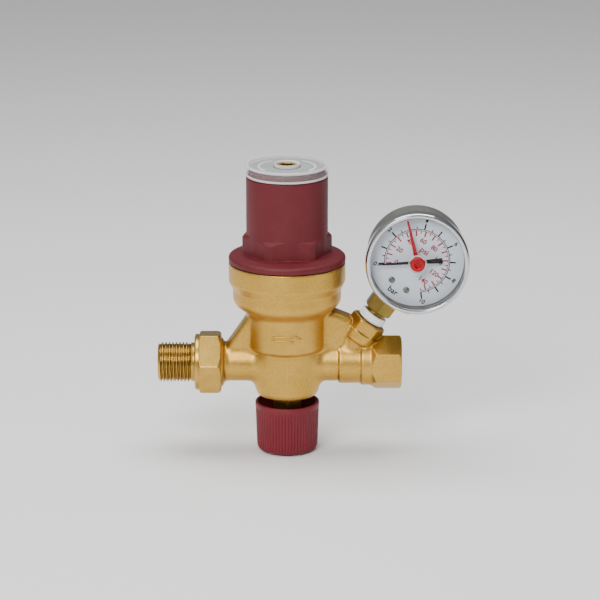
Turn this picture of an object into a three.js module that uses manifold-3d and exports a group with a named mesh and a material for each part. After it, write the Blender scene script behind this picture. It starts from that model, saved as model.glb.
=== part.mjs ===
// A pressure reducing (automatic filling) valve with its gauge, union tail and shut-off knob.
// Millimetres, +Z up. The origin is where the pipe axis (X) crosses the valve's own axis (Z).
// Water flows along +X; -Y is the side that the gauge faces.
import * as THREE from 'three';
import { mergeVertices } from 'three/addons/utils/BufferGeometryUtils.js';
import Module from 'manifold-3d';

const wasm = await Module();
wasm.setup();

// ---- Driving dimensions ----

const GAP = 0.3;                 // clearance between touching pieces
const INSIDE = 12;               // sides of small round pieces
const MIDDLE = 18;               // sides of middling round pieces
const OUTSIDE = 32;              // sides of large round pieces

// Body casting, about the valve axis.
const COLLAR_R = 30.4;
const BODY_TOP = 54.8;
const COLLAR_LOW = 45;
const BOWL_R = 28.2;
const BOWL_LOW = 36.5;
const NECK_R = 20.2;
const NECK_TOP = 25;
const NECK_LOW = 10.2;
const TRUNK_R = 17;
const BODY_LOW = -17.1;
const SEAT_BORE_R = 27.3;
const SEAT_BORE_LOW = 44;
const CHAMBER_R = 24.5;
const CHAMBER_LOW = 36.5;
const MAIN_BORE_R = 13;
const FLOOR_TOP = -12.5;
const WEB = 14;                  // thickness of the two webs beside the neck
const ARROW_Z = 18;
const ARROW_HALF_LENGTH = 7.5;
const ARROW_RISE = 0.4;
const GLAND_BORE_R = 6.6;

// Pipe run, along X.
const INLET_R = 9.9;
const INLET_BORE_R = 6;
const UNION_THREAD_R = 12.9;
const UNION_THREAD_END = -41.5;
const SHOULDER_X = -34.2;
const NUT_AF = 30.2;
const NUT_LEFT = -46;
const NUT_RIGHT = -34.5;
const NUT_TURN = 7.3;            // degrees that one nut corner stands above the front
const LIP_LEFT = -48.4;
const LIP_RIGHT = -46.4;
const TAIL_END = -67.6;
const TAIL_THREAD_R = 10.48;     // G1/2
const TAIL_THREAD_START = -50.6;
const TAIL_BORE_R = 7.5;
const FLANGE_FACE = -44.1;       // where the tail's flange meets the gasket
const OUTLET_HEX_AF = 25.3;
const OUTLET_HEX_START = 44.2;
const OUTLET_HUB_R = 12.1;       // the round step behind the outlet's hexagon
const OUTLET_END = 59.9;
const SOCKET_R = 9.3;            // G1/2 minor radius
const SOCKET_START = 46;
const CHECK_BORE_R = 8;
const CHECK_BORE_START = 27;

// Gauge branch: a line that leans from the pipe axis towards the outlet.
const BRANCH_X = 27.2;
const LEAN = 35;                 // degrees from vertical
const BOSS_TOP = 27.8;
const BOSS_HEX_START = 21.3;
const BOSS_R = 9.8;
const BOSS_AF = 17.6;
const BOSS_BORE_R = 6.1;
const BOSS_BORE_START = 18;
const GAUGE_AT = 69.8;           // distance of the gauge's centre along the branch
const STEM_R = 5.6;
const STEM_HEX_AF = 14;
const STEM_START = 19.6;
const STEM_HEX_START = 34.4;
const STEM_HEX_END = 43.9;
const TAPE_R = 7;
const TAPE_TOP = 32.3;
// The two dial screws stand either side of the stem, in lugs on the socket's block. From the
// gauge's centre, as [x, z].
const DIAL_SCREWS = [[-4.66, -15.8], [4.66, -15.8]];

// Bonnet and adjuster, about the valve axis.
const FLANGE_TOP = 58.4;
const BONNET_HEX_AF = 42;
const BONNET_CORNER_R = 23.2;
const BONNET_HEX_LOW = 59.9;
const BONNET_HEX_TOP = 69.6;
const BONNET_HEX_TURN = 25;      // degrees from the front to the nearest corner
const TOWER_R = 21.2;
const TOWER_TOP = 100.5;
const SPIGOT_R = 19.8;           // the step on the tower that the cap snaps over
const SPIGOT_TOP = 104.4;
const BEAD_R = 26.9;             // outside of the diaphragm's bead and of the bonnet's plug
const CAP_R = 21.45;
const CAP_TOP = 106.7;
const CAP_DOME = 0.5;
const CAP_HOLE_R = 7;
const SPRING_ROOM_R = 18;
const SPRING_ROOM_TOP = 92.5;
const SCREW_R = 5;
const SCREW_TOP = 106.5;
const KEY_DEPTH = 10.5;
const BUSH_R = 7.9;
const BUSH_TOP = 101.5;
const SCALE_R = 19.6;
const SCALE_LOW = 104.7;
const SCALE_TOP = 105.3;
const KEY_AF = 6;

// Shut-off knob, below the body.
const KNOB_TOP = -22.1;
const KNOB_LOW = -47.2;
const KNOB_R = 16.8;
const KNOB_LOW_R = 15.9;
const KNOB_WALL = 2.6;
const SPINDLE_R = 2.8;
const SPINDLE_LOW = -41.6;
const SPINDLE_TOP = -14.6;
const HUB_R = 6;
const HUB_TOP = -30;
const HUB_LOW = -46;
const SCREW_SEAT = -43.4;        // top of the recess that holds the knob's washer and screw
const GLAND_HEX_AF = 14.5;
const GLAND_LOW = -25.4;

// Gauge, in its own frame: its face looks along -Y and its stem points along -Z.
const RING_R = 27;
const RING_FRONT = -16.5;
const CASE_R = 25.6;
const CASE_BACK = 10;
const CASE_FRONT = -11.6;
const LENS_FRONT = -14.6;
const DIAL_FRONT = -8.5;
const DIAL_R = 23.6;
const PINION_TEETH = 8;
const SECTOR_TEETH = 48;         // on a full circle
const TOOTH_MODULE = 0.375;
const SECTOR_COMPASS = 110;      // degrees clockwise from the top to the sector's pivot
const POINTER_COMPASS = 266;     // the same, to the black pointer with no pressure
const MARKER_COMPASS = 347;      // and to the red marker
const ARBOR_R = 0.7;
const BOURDON_R = 17.2;
const BOURDON_START = 206;       // degrees, where the tube leaves the socket's block
const BOURDON_SWEEP = 249;

const finish = {
  brass: { color: 0xb9a47c, metalness: 1, roughness: 0.42 },
  bonnet: { color: 0x6e1a26, metalness: 0, roughness: 0.45 },
  clear: { color: 0xe6eaec, metalness: 0, roughness: 0.08, transparent: true, opacity: 0.3 },
  grey: { color: 0x777b80, metalness: 0, roughness: 0.6 },
  nylon: { color: 0xe9e6da, metalness: 0, roughness: 0.55 },
  rubber: { color: 0x1c1c1d, metalness: 0, roughness: 0.8 },
  steel: { color: 0xb6b9bb, metalness: 1, roughness: 0.35 },
  chrome: { color: 0xd8dadc, metalness: 1, roughness: 0.15 },
  tape: { color: 0xf3f3f0, metalness: 0, roughness: 0.7 },
  dial: { color: 0xcdd5de, metalness: 0, roughness: 0.55 },
  black: { color: 0x161617, metalness: 0, roughness: 0.5 },
  red: { color: 0xb0281f, metalness: 0, roughness: 0.4 },
};

const valve = new THREE.Group();
const gauge = new THREE.Group();
const lean = THREE.MathUtils.degToRad(LEAN);
gauge.position.set(
  BRANCH_X + GAUGE_AT * Math.sin(lean), 0, GAUGE_AT * Math.cos(lean));
gauge.rotation.y = lean;
valve.add(gauge);

function add(name, geometry, look, parent = valve) {
  const mesh = new THREE.Mesh(geometry, new THREE.MeshStandardMaterial(finish[look]));
  mesh.name = name;
  parent.add(mesh);
}

// ---- Shapes ----

// A solid of revolution about +Z. Points are [radius, height] around the section's outline, either
// way round. An outline that doesn't touch the axis closes on itself.
function turned(points, sides = MIDDLE) {
  const outline = points.map(([r, z]) => new THREE.Vector2(r, z));
  if (THREE.ShapeUtils.isClockWise(outline)) {
    outline.reverse();
  }
  if (outline[0].x > 0) {
    outline.push(outline[0].clone());
  }
  return new THREE.LatheGeometry(outline, sides).rotateX(Math.PI / 2);
}

function rod(r, low, high, sides = INSIDE) {
  return turned([[0, low], [r, low], [r, high], [0, high]], sides);
}

function tube(inner, outer, low, high, sides = MIDDLE) {
  return turned([[inner, low], [outer, low], [outer, high], [inner, high]], sides);
}

// An O-ring with a square section, set on its corner.
function oring(r, thick, z) {
  return turned([[r, z - thick], [r + thick, z], [r, z + thick], [r - thick, z]], INSIDE);
}

// A prism on a polygon of [x, y] points.
function prism(points, low, high) {
  const shape = new THREE.Shape(points.map(([x, y]) => new THREE.Vector2(x, y)));
  const options = { depth: high - low, bevelEnabled: false };
  return new THREE.ExtrudeGeometry(shape, options).translate(0, 0, low);
}

function polygon(sides, cornerRadius, firstCorner = 0) {
  const points = [];
  for (let i = 0; i < sides; i++) {
    const turn = THREE.MathUtils.degToRad(firstCorner + i * 360 / sides);
    points.push([cornerRadius * Math.cos(turn), cornerRadius * Math.sin(turn)]);
  }
  return points;
}

function hexagon(acrossFlats, low, high, firstCorner = 0) {
  return prism(polygon(6, acrossFlats / Math.sqrt(3), firstCorner), low, high);
}

// A plate in the XZ plane, from [x, z] points, between two heights in Y.
function plateXZ(points, near, far) {
  return prism(points, -far, -near).rotateX(Math.PI / 2);
}

// Turns a shape made about +Z so that its axis lies along +X, or along +Y.
function alongX(geometry) {
  return geometry.rotateY(Math.PI / 2);
}

function alongY(geometry) {
  return geometry.rotateX(-Math.PI / 2);
}

// Leans a shape made about +Z onto the gauge branch.
function onBranch(geometry) {
  return geometry.rotateY(lean).translate(BRANCH_X, 0, 0);
}

function coil(r, wire, low, high, turns, stepsPerTurn = 10) {
  class Helix extends THREE.Curve {
    getPoint(t, target = new THREE.Vector3()) {
      const turn = t * turns * 2 * Math.PI;
      return target.set(r * Math.cos(turn), r * Math.sin(turn), low + t * (high - low));
    }
  }
  const section = new THREE.Shape(polygon(5, wire / 2).map(([x, y]) => new THREE.Vector2(x, y)));
  const options = { extrudePath: new Helix(), steps: turns * stepsPerTurn, bevelEnabled: false };
  return new THREE.ExtrudeGeometry(section, options);
}

// ---- Booleans ----

function solid(geometry) {
  const bare = geometry.clone();
  bare.deleteAttribute('normal');
  bare.deleteAttribute('uv');
  const merged = mergeVertices(bare, 1e-4);
  const mesh = new wasm.Mesh({
    numProp: 3,
    vertProperties: new Float32Array(merged.attributes.position.array),
    triVerts: new Uint32Array(merged.index.array),
  });
  mesh.merge();
  return new wasm.Manifold(mesh);
}

function geometryOf(manifold) {
  const mesh = manifold.getMesh();
  const geometry = new THREE.BufferGeometry();
  geometry.setAttribute('position', new THREE.BufferAttribute(mesh.vertProperties, 3));
  geometry.setIndex(new THREE.BufferAttribute(mesh.triVerts, 1));
  geometry.computeVertexNormals();
  return geometry;
}

function join(...geometries) {
  return geometryOf(geometries.map(solid).reduce((whole, piece) => whole.add(piece)));
}

function cut(geometry, ...tools) {
  return geometryOf(tools.map(solid).reduce((rest, tool) => rest.subtract(tool), solid(geometry)));
}

function common(first, second) {
  return geometryOf(solid(first).intersect(solid(second)));
}

// ---- Valve body ----

function bodyOfRevolution() {
  const bowl = new THREE.CubicBezierCurve(
    new THREE.Vector2(NECK_R, NECK_TOP),
    new THREE.Vector2(NECK_R, NECK_TOP + 5.5),
    new THREE.Vector2(BOWL_R, BOWL_LOW - 7),
    new THREE.Vector2(BOWL_R, BOWL_LOW));
  return turned([
    [0, BODY_LOW],
    [14.7, BODY_LOW],
    [16.3, -15],
    [TRUNK_R, -11.5],
    [TRUNK_R, 7.6],
    [19.3, 8.9],
    [NECK_R, NECK_LOW],
    ...bowl.getPoints(5).map((p) => [p.x, p.y]),
    [BOWL_R, 40.5],
    [28.7, 41.5],
    [COLLAR_R, COLLAR_LOW],
    [COLLAR_R, BODY_TOP],
    [0, BODY_TOP],
  ], OUTSIDE);
}

function inletPipe() {
  return alongX(turned([
    [0, UNION_THREAD_END],
    [UNION_THREAD_R - 0.8, UNION_THREAD_END],
    [UNION_THREAD_R, UNION_THREAD_END + 0.8],
    [UNION_THREAD_R, SHOULDER_X],
    [10.4, SHOULDER_X + 1.2],
    [INLET_R, SHOULDER_X + 2.4],
    [INLET_R, 0],
    [0, 0],
  ]));
}

function outletPipe() {
  const round = turned([
    [0, 0],
    [INLET_R, 0],
    [INLET_R, 26.9],
    [11.1, 27.5],
    [11.1, 38.2],
    [OUTLET_HUB_R, 38.8],
    [OUTLET_HUB_R, OUTLET_HEX_START + 0.4],
    [0, OUTLET_HEX_START + 0.4],
  ]);
  const corner = OUTLET_HEX_AF / Math.sqrt(3);
  const chamfered = turned([
    [0, OUTLET_HEX_START],
    [OUTLET_HUB_R, OUTLET_HEX_START],
    [corner, 46.6],
    [corner, OUTLET_END - 1.2],
    [12.6, OUTLET_END],
    [0, OUTLET_END],
  ]);
  const hex = common(hexagon(OUTLET_HEX_AF, OUTLET_HEX_START, OUTLET_END), chamfered);
  return alongX(join(round, hex));
}

function gaugeBoss() {
  const round = rod(BOSS_R, 0, BOSS_HEX_START + 1.5, MIDDLE);
  const hex = hexagon(BOSS_AF, BOSS_HEX_START, BOSS_TOP);
  return onBranch(join(round, hex));
}

function webs() {
  const half = WEB / 2;
  const left = plateXZ([[-32.3, 0], [-8, 0], [-8, 30], [-19, 28.6], [-32.3, 9.4]], -half, half);
  const right = plateXZ([[8, 0], [27, 0], [33, 24.8], [24, 28.8], [8, 29]], -half, half);
  return [left, right];
}

// A small cast arrow on the front of the neck, which shows the direction of flow.
function flowArrow() {
  const end = ARROW_HALF_LENGTH;
  const points = [
    [-end, -1.2], [3.4, -1.2], [3.4, -2.3], [end, 0], [3.4, 2.3], [3.4, 1.2], [-end, 1.2],
  ];
  const tall = plateXZ(points, -COLLAR_R, 0).translate(0, 0, ARROW_Z);
  return common(tall, rod(NECK_R + ARROW_RISE, ARROW_Z - 4, ARROW_Z + 4, OUTSIDE));
}

// The passage from the reduced-pressure chamber down the right web to the check valve.
function outletPassage() {
  const start = new THREE.Vector3(8, 0, 20);
  const end = new THREE.Vector3(29.5, 0, 1);
  const along = end.clone().sub(start);
  const turn = Math.atan2(along.x, along.z);
  return rod(3.6, 0, along.length()).rotateY(turn).translate(start.x, 0, start.z);
}

function valveBody() {
  const outside = join(
    bodyOfRevolution(), inletPipe(), outletPipe(), gaugeBoss(), ...webs(), flowArrow());
  return cut(
    outside,
    rod(SEAT_BORE_R, SEAT_BORE_LOW, BODY_TOP + 1, OUTSIDE),
    rod(CHAMBER_R, CHAMBER_LOW, SEAT_BORE_LOW + 1, OUTSIDE),
    rod(MAIN_BORE_R, FLOOR_TOP, CHAMBER_LOW + 1, MIDDLE),
    rod(GLAND_BORE_R, BODY_LOW - 1, FLOOR_TOP + 1),
    alongX(rod(INLET_BORE_R, UNION_THREAD_END - 1, -8)),
    alongX(rod(CHECK_BORE_R, CHECK_BORE_START, SOCKET_START + 1)),
    alongX(rod(SOCKET_R, SOCKET_START, OUTLET_END + 1)),
    outletPassage(),
    onBranch(rod(2.2, 3, BOSS_TOP)),
    onBranch(rod(BOSS_BORE_R, BOSS_BORE_START, BOSS_TOP + 1)));
}

add('valve_body', valveBody(), 'brass');

// ---- Bonnet, cap and scale ----

function bonnet() {
  const outside = turned([
    [0, 48],
    [BEAD_R, 48],
    [BEAD_R, BODY_TOP + GAP],
    [COLLAR_R, BODY_TOP + GAP],
    [COLLAR_R, FLANGE_TOP - 0.8],
    [COLLAR_R - 0.8, FLANGE_TOP],
    [24.5, BONNET_HEX_LOW],
    [TOWER_R, BONNET_HEX_LOW],
    [TOWER_R, TOWER_TOP - 0.4],
    [20.6, TOWER_TOP],
    [SPIGOT_R, TOWER_TOP],
    [SPIGOT_R, SPIGOT_TOP],
    [0, SPIGOT_TOP],
  ], OUTSIDE);
  const hex = common(
    hexagon(BONNET_HEX_AF, 59, BONNET_HEX_TOP, -90 - BONNET_HEX_TURN),
    rod(BONNET_CORNER_R, 59, BONNET_HEX_TOP, OUTSIDE));
  return cut(
    join(outside, hex),
    rod(23, 47, 53, OUTSIDE),
    turned([[0, 52.9], [23, 52.9], [SPRING_ROOM_R, 58], [SPRING_ROOM_R, SPRING_ROOM_TOP],
      [0, SPRING_ROOM_TOP]], MIDDLE),
    rod(BUSH_R + 0.4, SPRING_ROOM_TOP - 1, BUSH_TOP + GAP),
    rod(SCREW_R + 1.6, BUSH_TOP - 0.5, SPIGOT_TOP + 1));
}

function bonnetCap() {
  return turned([
    [CAP_HOLE_R, CAP_TOP + CAP_DOME - 1.1],
    [CAP_R - 1.2, CAP_TOP - 1.1],
    [CAP_R - 1.2, TOWER_TOP + GAP],
    [CAP_R, TOWER_TOP + GAP],
    [CAP_R, CAP_TOP - 0.8],
    [CAP_R - 0.8, CAP_TOP],
    [CAP_HOLE_R, CAP_TOP + CAP_DOME],
  ], OUTSIDE);
}

function screwBush() {
  const flange = hexagon(20, 90, SPRING_ROOM_TOP - GAP);
  const barrel = rod(BUSH_R, 92, BUSH_TOP);
  return cut(join(flange, barrel), rod(SCREW_R + 0.4, 89, BUSH_TOP + 1));
}

function adjustingScrew() {
  const shank = turned([
    [0, 87.6], [2.6, 88.3], [4.2, 89], [SCREW_R, 90], [SCREW_R, SCREW_TOP - 0.6],
    [SCREW_R - 0.6, SCREW_TOP], [0, SCREW_TOP],
  ], INSIDE);
  return cut(shank, hexagon(KEY_AF, SCREW_TOP - KEY_DEPTH, SCREW_TOP + 1));
}

function springPlate() {
  return turned([
    [0, 85.2], [10, 85.2], [10, 82.4], [11, 82.4], [11, 84.3], [15.6, 84.3], [15.6, 86.6],
    [8, 88.4], [3.4, 88.4], [0, 87.2],
  ], MIDDLE);
}

add('bonnet', bonnet(), 'bonnet');
add('bonnet_cap', bonnetCap(), 'clear');
add('scale_disc', tube(CAP_HOLE_R + 0.2, SCALE_R, SCALE_LOW, SCALE_TOP, MIDDLE), 'grey');
add('screw_bush', screwBush(), 'brass');
add('adjusting_screw', adjustingScrew(), 'brass');
add('spring_plate', springPlate(), 'steel');
add('main_spring', coil(13.9, 3.2, 52.3, 82.3, 6), 'steel');

// ---- Diaphragm and stem ----

// A rolled rubber disc: flat where the stem clamps it, a rounded convolution, and a bead outside.
function diaphragm() {
  return turned([
    [6.4, 44.4], [16.5, 44.4], [18.4, 45.6], [21.4, 45.6], [23.2, 44.4],
    [BEAD_R, 44.4], [BEAD_R, 46.4],
    [23.2, 46.4], [21.8, 47.4], [18, 47.4], [16.2, 46.3], [6.4, 46.3],
  ], MIDDLE);
}

add('slip_ring', tube(23.4, 26.8, 46.75, 47.65, OUTSIDE), 'nylon');
add('diaphragm', diaphragm(), 'rubber');
add('diaphragm_plate', turned([
  [2.9, 46.7], [15.4, 46.7], [15.9, 47.2], [15.9, 50.2], [9.5, 50.2], [9.5, 51], [2.9, 51],
], MIDDLE), 'steel');
add('diaphragm_washer', turned([
  [2.9, 41.4], [13.2, 41.4], [14, 42.2], [14, 44.1], [6, 44.1], [6, 46.3], [2.9, 46.3],
], MIDDLE), 'brass');
add('valve_stem', turned([
  [0, -0.9], [2.5, -0.9], [2.5, 36.4], [4, 36.4], [4, 41], [2.5, 41], [2.5, 55.6], [0, 55.6],
], INSIDE), 'brass');
add('stem_nut', cut(hexagon(9, 51.4, 54.8), rod(2.9, 51, 56)), 'steel');
add('obturator', turned([
  [0, -3.4], [7, -3.4], [8.4, -2.4], [8.4, 3.6], [7.8, 3.6], [7.8, 1.4], [2.9, 1.4], [2.9, -1.3],
  [0, -1.3],
], INSIDE), 'brass');
add('obturator_seal', tube(3, 7.4, 1.8, 4, INSIDE), 'rubber');
add('guide_bush', turned([
  [3, 29], [12.6, 29], [12.6, 33], [8, 33], [8, 35.6], [3, 35.6],
], INSIDE), 'brass');

// ---- Seat, strainer and return spring ----

add('seat_insert', turned([
  [5.6, 6.8], [7, 6.8], [7.6, 8.2], [12.6, 8.2], [12.6, 9.4], [11, 9.4], [11, 11.2], [12.6, 11.2],
  [12.6, 12.4], [5.6, 12.4],
], MIDDLE), 'steel');
add('seat_oring', oring(12, 0.6, 10.3), 'rubber');

// The strainer is a thin sleeve with windows, open at its foot.
function strainer() {
  const windows = [];
  for (let i = 0; i < 6; i++) {
    const slot = new THREE.BoxGeometry(10, 5, 11).translate(12, 0, -2.5);
    windows.push(slot.rotateZ((i + 0.5) * Math.PI / 3));
  }
  return cut(tube(11.6, 12.6, -12.1, 7.6, MIDDLE), ...windows);
}

add('strainer', strainer(), 'steel');
add('return_spring', coil(5, 1, -11.7, -4, 4, 8), 'steel');

// ---- Shut-off at the bottom ----

function gland() {
  const outside = join(
    rod(GLAND_BORE_R - 0.4, -17.6, FLOOR_TOP - 0.2),
    hexagon(GLAND_HEX_AF, GLAND_LOW, BODY_LOW - GAP, -90));
  const oringGroove = rod(4.9, -19.5, -17.4);
  return cut(outside, rod(SPINDLE_R + 0.4, GLAND_LOW - 1, FLOOR_TOP + 0.5), oringGroove);
}

function knob() {
  const skirtInner = KNOB_R - KNOB_WALL;
  const outside = turned([
    [0, KNOB_LOW],
    [KNOB_LOW_R - 2.2, KNOB_LOW],
    [KNOB_LOW_R - 0.5, KNOB_LOW + 0.8],
    [KNOB_LOW_R, KNOB_LOW + 2.4],
    [KNOB_R, KNOB_TOP - 0.6],
    [KNOB_R - 0.5, KNOB_TOP],
    [0, KNOB_TOP],
  ], OUTSIDE);
  const hollow = turned([
    [0, -45], [skirtInner - 1.6, -43], [skirtInner, -40], [skirtInner, KNOB_TOP + 1],
    [0, KNOB_TOP + 1],
  ], MIDDLE);
  const hub = turned([
    [0, HUB_LOW], [HUB_R + 1.6, HUB_LOW], [HUB_R + 1.6, -42], [HUB_R, -41], [HUB_R, HUB_TOP],
    [0, HUB_TOP],
  ], INSIDE);
  const shell = cut(outside, hollow);
  return cut(
    join(shell, hub),
    rod(SPINDLE_R + GAP, SPINDLE_LOW - 0.4, HUB_TOP + 1),
    rod(1.9, SCREW_SEAT - 1, SPINDLE_LOW + 1),
    rod(5.8, KNOB_LOW - 1, SCREW_SEAT));
}

function shutoffSpindle() {
  const shank = turned([
    [0, SPINDLE_LOW], [SPINDLE_R, SPINDLE_LOW], [SPINDLE_R, SPINDLE_TOP], [0, SPINDLE_TOP],
  ], INSIDE);
  const screwHole = rod(1.5, SPINDLE_LOW - 1, SPINDLE_LOW + 7.6);
  const pinHole = rod(1.6, SPINDLE_TOP - 2.9, SPINDLE_TOP + 1);
  return cut(shank, screwHole, pinHole);
}

add('gland', gland(), 'brass');
add('gland_oring', oring(9.3, 0.6, -18.2), 'rubber');
add('spindle_oring', oring(3.95, 0.6, -18.5), 'rubber');
add('thrust_pin', turned([
  [0, -17.1], [1.2, -17.1], [1.2, -14.3], [2, -14.3], [2, -8.4], [1.5, -7.9], [0, -7.9],
], INSIDE), 'steel');
add('shutoff_spindle', shutoffSpindle(), 'brass');
add('shutoff_knob', knob(), 'bonnet');
add('knob_washer', tube(1.9, 5.4, -44.7, -43.8, INSIDE), 'steel');
add('knob_screw', turned([
  [0, -46.3], [2.6, -46.3], [2.9, -45.9], [2.9, -45], [1.2, -45], [1.2, -35], [0, -35],
], INSIDE), 'steel');

// ---- Union ----

function unionNut() {
  const corner = NUT_AF / Math.sqrt(3);
  const chamfered = turned([
    [0, LIP_LEFT],
    [14.2, LIP_LEFT],
    [14.8, LIP_LEFT + 0.6],
    [14.8, NUT_LEFT],
    [corner, NUT_LEFT],
    [corner, NUT_RIGHT - 1.4],
    [corner - 2.4, NUT_RIGHT],
    [0, NUT_RIGHT],
  ]);
  // Before the nut is laid along X its -Y side is the front and its -X side is the top.
  const hex = hexagon(NUT_AF, NUT_LEFT, NUT_RIGHT, -90 - NUT_TURN);
  const collar = rod(14.8, LIP_LEFT, NUT_LEFT + 0.5, MIDDLE);
  const outside = common(join(hex, collar), chamfered);
  return alongX(cut(
    outside,
    rod(13.4, LIP_RIGHT, NUT_RIGHT + 1, MIDDLE),
    rod(10.9, LIP_LEFT - 1, LIP_RIGHT + 1, MIDDLE)));
}

function tailpiece() {
  return alongX(turned([
    [TAIL_BORE_R, TAIL_END],
    [TAIL_THREAD_R - 1, TAIL_END],
    [TAIL_THREAD_R, TAIL_END + 1],
    [TAIL_THREAD_R, TAIL_THREAD_START],
    [10.2, TAIL_THREAD_START + 0.3],
    [10.2, LIP_RIGHT + GAP],
    [12.8, LIP_RIGHT + GAP],
    [12.8, FLANGE_FACE],
    [TAIL_BORE_R, FLANGE_FACE],
  ]));
}

add('union_nut', unionNut(), 'brass');
add('tailpiece', tailpiece(), 'brass');
add('union_gasket', alongX(tube(8, 12.4, FLANGE_FACE + GAP, UNION_THREAD_END - GAP)), 'rubber');

// ---- Check valve in the outlet ----

function checkRetainer() {
  const arms = [0, 1, 2].map((i) => (
    new THREE.BoxGeometry(7, 1.4, 1.6).translate(3.5, 0, 44.7).rotateZ(i * 2 * Math.PI / 3)));
  const spider = join(tube(6, 7.6, 43.9, 45.5, INSIDE), rod(2.4, 43.4, 45.5), ...arms);
  return alongX(cut(spider, rod(1.5, 42, 47)));
}

add('check_cage', alongX(turned([
  [3.6, 28], [7.6, 28], [7.6, 43.6], [6.4, 43.6], [6.4, 30.4], [3.6, 30.4],
], INSIDE)), 'nylon');
add('check_retainer', checkRetainer(), 'nylon');
add('check_poppet', alongX(turned([
  [0, 31.6], [4.8, 31.6], [4.8, 33.4], [2, 33.4], [1.1, 34.4], [1.1, 43.2], [0, 43.2],
], INSIDE)), 'nylon');
add('poppet_seal', alongX(tube(2.2, 4.6, 30.75, 31.3, INSIDE)), 'rubber');
add('check_spring', alongX(coil(3.1, 0.8, 34.3, 42.8, 4, 8)), 'steel');

// ---- Gauge socket and sealing tape ----

function gaugeSocket() {
  const stem = turned([
    [0, STEM_START], [STEM_R, STEM_START], [STEM_R, TAPE_TOP + GAP], [5, TAPE_TOP + 0.8],
    [5, STEM_HEX_START + 0.2],
    [0, STEM_HEX_START + 0.2],
  ], INSIDE);
  const hex = hexagon(STEM_HEX_AF, STEM_HEX_START, STEM_HEX_END);
  const neck = rod(STEM_R, STEM_HEX_END - 1, GAUGE_AT - 21.7);
  const block = new THREE.BoxGeometry(11.8, 9, 11.5).translate(0, 0.5, GAUGE_AT - 17.75);
  const lugs = DIAL_SCREWS.map(([x, z]) => (
    alongY(rod(2.1, -7.3, -3)).translate(x, 0, GAUGE_AT + z)));
  const whole = join(stem, hex, neck, block, ...lugs);
  return onBranch(cut(whole, rod(1.6, STEM_START - 1, GAUGE_AT - 18)));
}

add('gauge_socket', gaugeSocket(), 'brass');
add('ptfe_tape', onBranch(tube(STEM_R + GAP, TAPE_R, BOSS_TOP + GAP, TAPE_TOP)), 'tape');

// ---- Gauge case ----

function gaugeCase() {
  const cup = turned([
    [0, CASE_BACK],
    [CASE_R - 1.4, CASE_BACK],
    [CASE_R, CASE_BACK - 1.4],
    [CASE_R, CASE_FRONT],
    [CASE_R - 1.2, CASE_FRONT],
    [CASE_R - 1.2, CASE_BACK - 2],
    [CASE_R - 2, CASE_BACK - 1.2],
    [0, CASE_BACK - 1.2],
  ], OUTSIDE);
  const mouth = rod(STEM_R + 0.5, -CASE_R - 2, -CASE_R + 5);
  return cut(alongY(cup), mouth);
}

function gaugeRing() {
  return alongY(turned([
    [24.4, RING_FRONT + 0.6],
    [25, RING_FRONT],
    [26.2, RING_FRONT],
    [RING_R, RING_FRONT + 0.9],
    [RING_R, -9.6],
    [26, -9.6],
    [26, -12.6],
    [24.9, -12.9],
    [24.9, -15],
    [24.4, -15.2],
  ], OUTSIDE));
}

add('gauge_case', gaugeCase(), 'steel', gauge);
add('gauge_ring', gaugeRing(), 'chrome', gauge);
add('gauge_lens', alongY(tube(1.7, 24.5, LENS_FRONT, LENS_FRONT + 1.4, OUTSIDE)), 'clear', gauge);

function gaugeDial() {
  const holes = DIAL_SCREWS.map(([x, z]) => (
    alongY(rod(1.2, -9, -7)).translate(x, 0, z)));
  const disc = alongY(tube(1.4, DIAL_R, DIAL_FRONT, DIAL_FRONT + 0.6, OUTSIDE));
  return cut(disc, ...holes);
}

add('gauge_dial', gaugeDial(), 'dial', gauge);

DIAL_SCREWS.forEach(([x, z], i) => {
  const screw = alongY(turned([
    [0, -9.7], [1.1, -9.7], [1.6, -9.2], [1.6, -8.8], [0.8, -8.8], [0.8, -7.6], [0, -7.6],
  ], INSIDE));
  add(`dial_screw_${i + 1}`, screw.translate(x, 0, z), 'chrome', gauge);
});

// ---- Gauge movement ----

// The gauge leans, so each pointer's compass bearing is counted from the stem's line.
const REST_TURN = THREE.MathUtils.degToRad(POINTER_COMPASS - LEAN);
const SET_TURN = THREE.MathUtils.degToRad(MARKER_COMPASS - LEAN);

const sectorTurn = THREE.MathUtils.degToRad(SECTOR_COMPASS);
const pinionPitch = PINION_TEETH * TOOTH_MODULE / 2;
const sectorPitch = SECTOR_TEETH * TOOTH_MODULE / 2;
const pivotDistance = pinionPitch + sectorPitch + 0.25;
const SECTOR_PIVOT = [pivotDistance * Math.sin(sectorTurn), pivotDistance * Math.cos(sectorTurn)];
const TAIL_PIN = [SECTOR_PIVOT[0] + 2, SECTOR_PIVOT[1] - 3.5];
const TUBE_TIP = [16.6, -2.9];

// Part of a toothed outline about [0, 0], as [x, z] points: as many teeth as asked for, of the
// count that would fill the circle. Each corner is [share of a tooth's step, rise above pitch].
function teeth(pitch, count, first, made) {
  const points = [];
  const step = 2 * Math.PI / count;
  const corners = [[-0.24, -0.42], [-0.11, 0.32], [0.11, 0.32], [0.24, -0.42]];
  for (let i = 0; i < made; i++) {
    const middle = first + i * step;
    for (const [share, rise] of corners) {
      const turn = middle + share * step;
      points.push([(pitch + rise) * Math.cos(turn), (pitch + rise) * Math.sin(turn)]);
    }
  }
  return points;
}

// The pinion is cut on the pointer's arbor. A gap between its teeth faces the sector.
function pointerArbor() {
  const towardsSector = Math.atan2(SECTOR_PIVOT[1], SECTOR_PIVOT[0]);
  const first = towardsSector + Math.PI / PINION_TEETH;
  const pinion = plateXZ(teeth(pinionPitch, PINION_TEETH, first, PINION_TEETH), -1, 1);
  return join(pinion, alongY(rod(ARBOR_R, -11, 4.6)));
}

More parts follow.
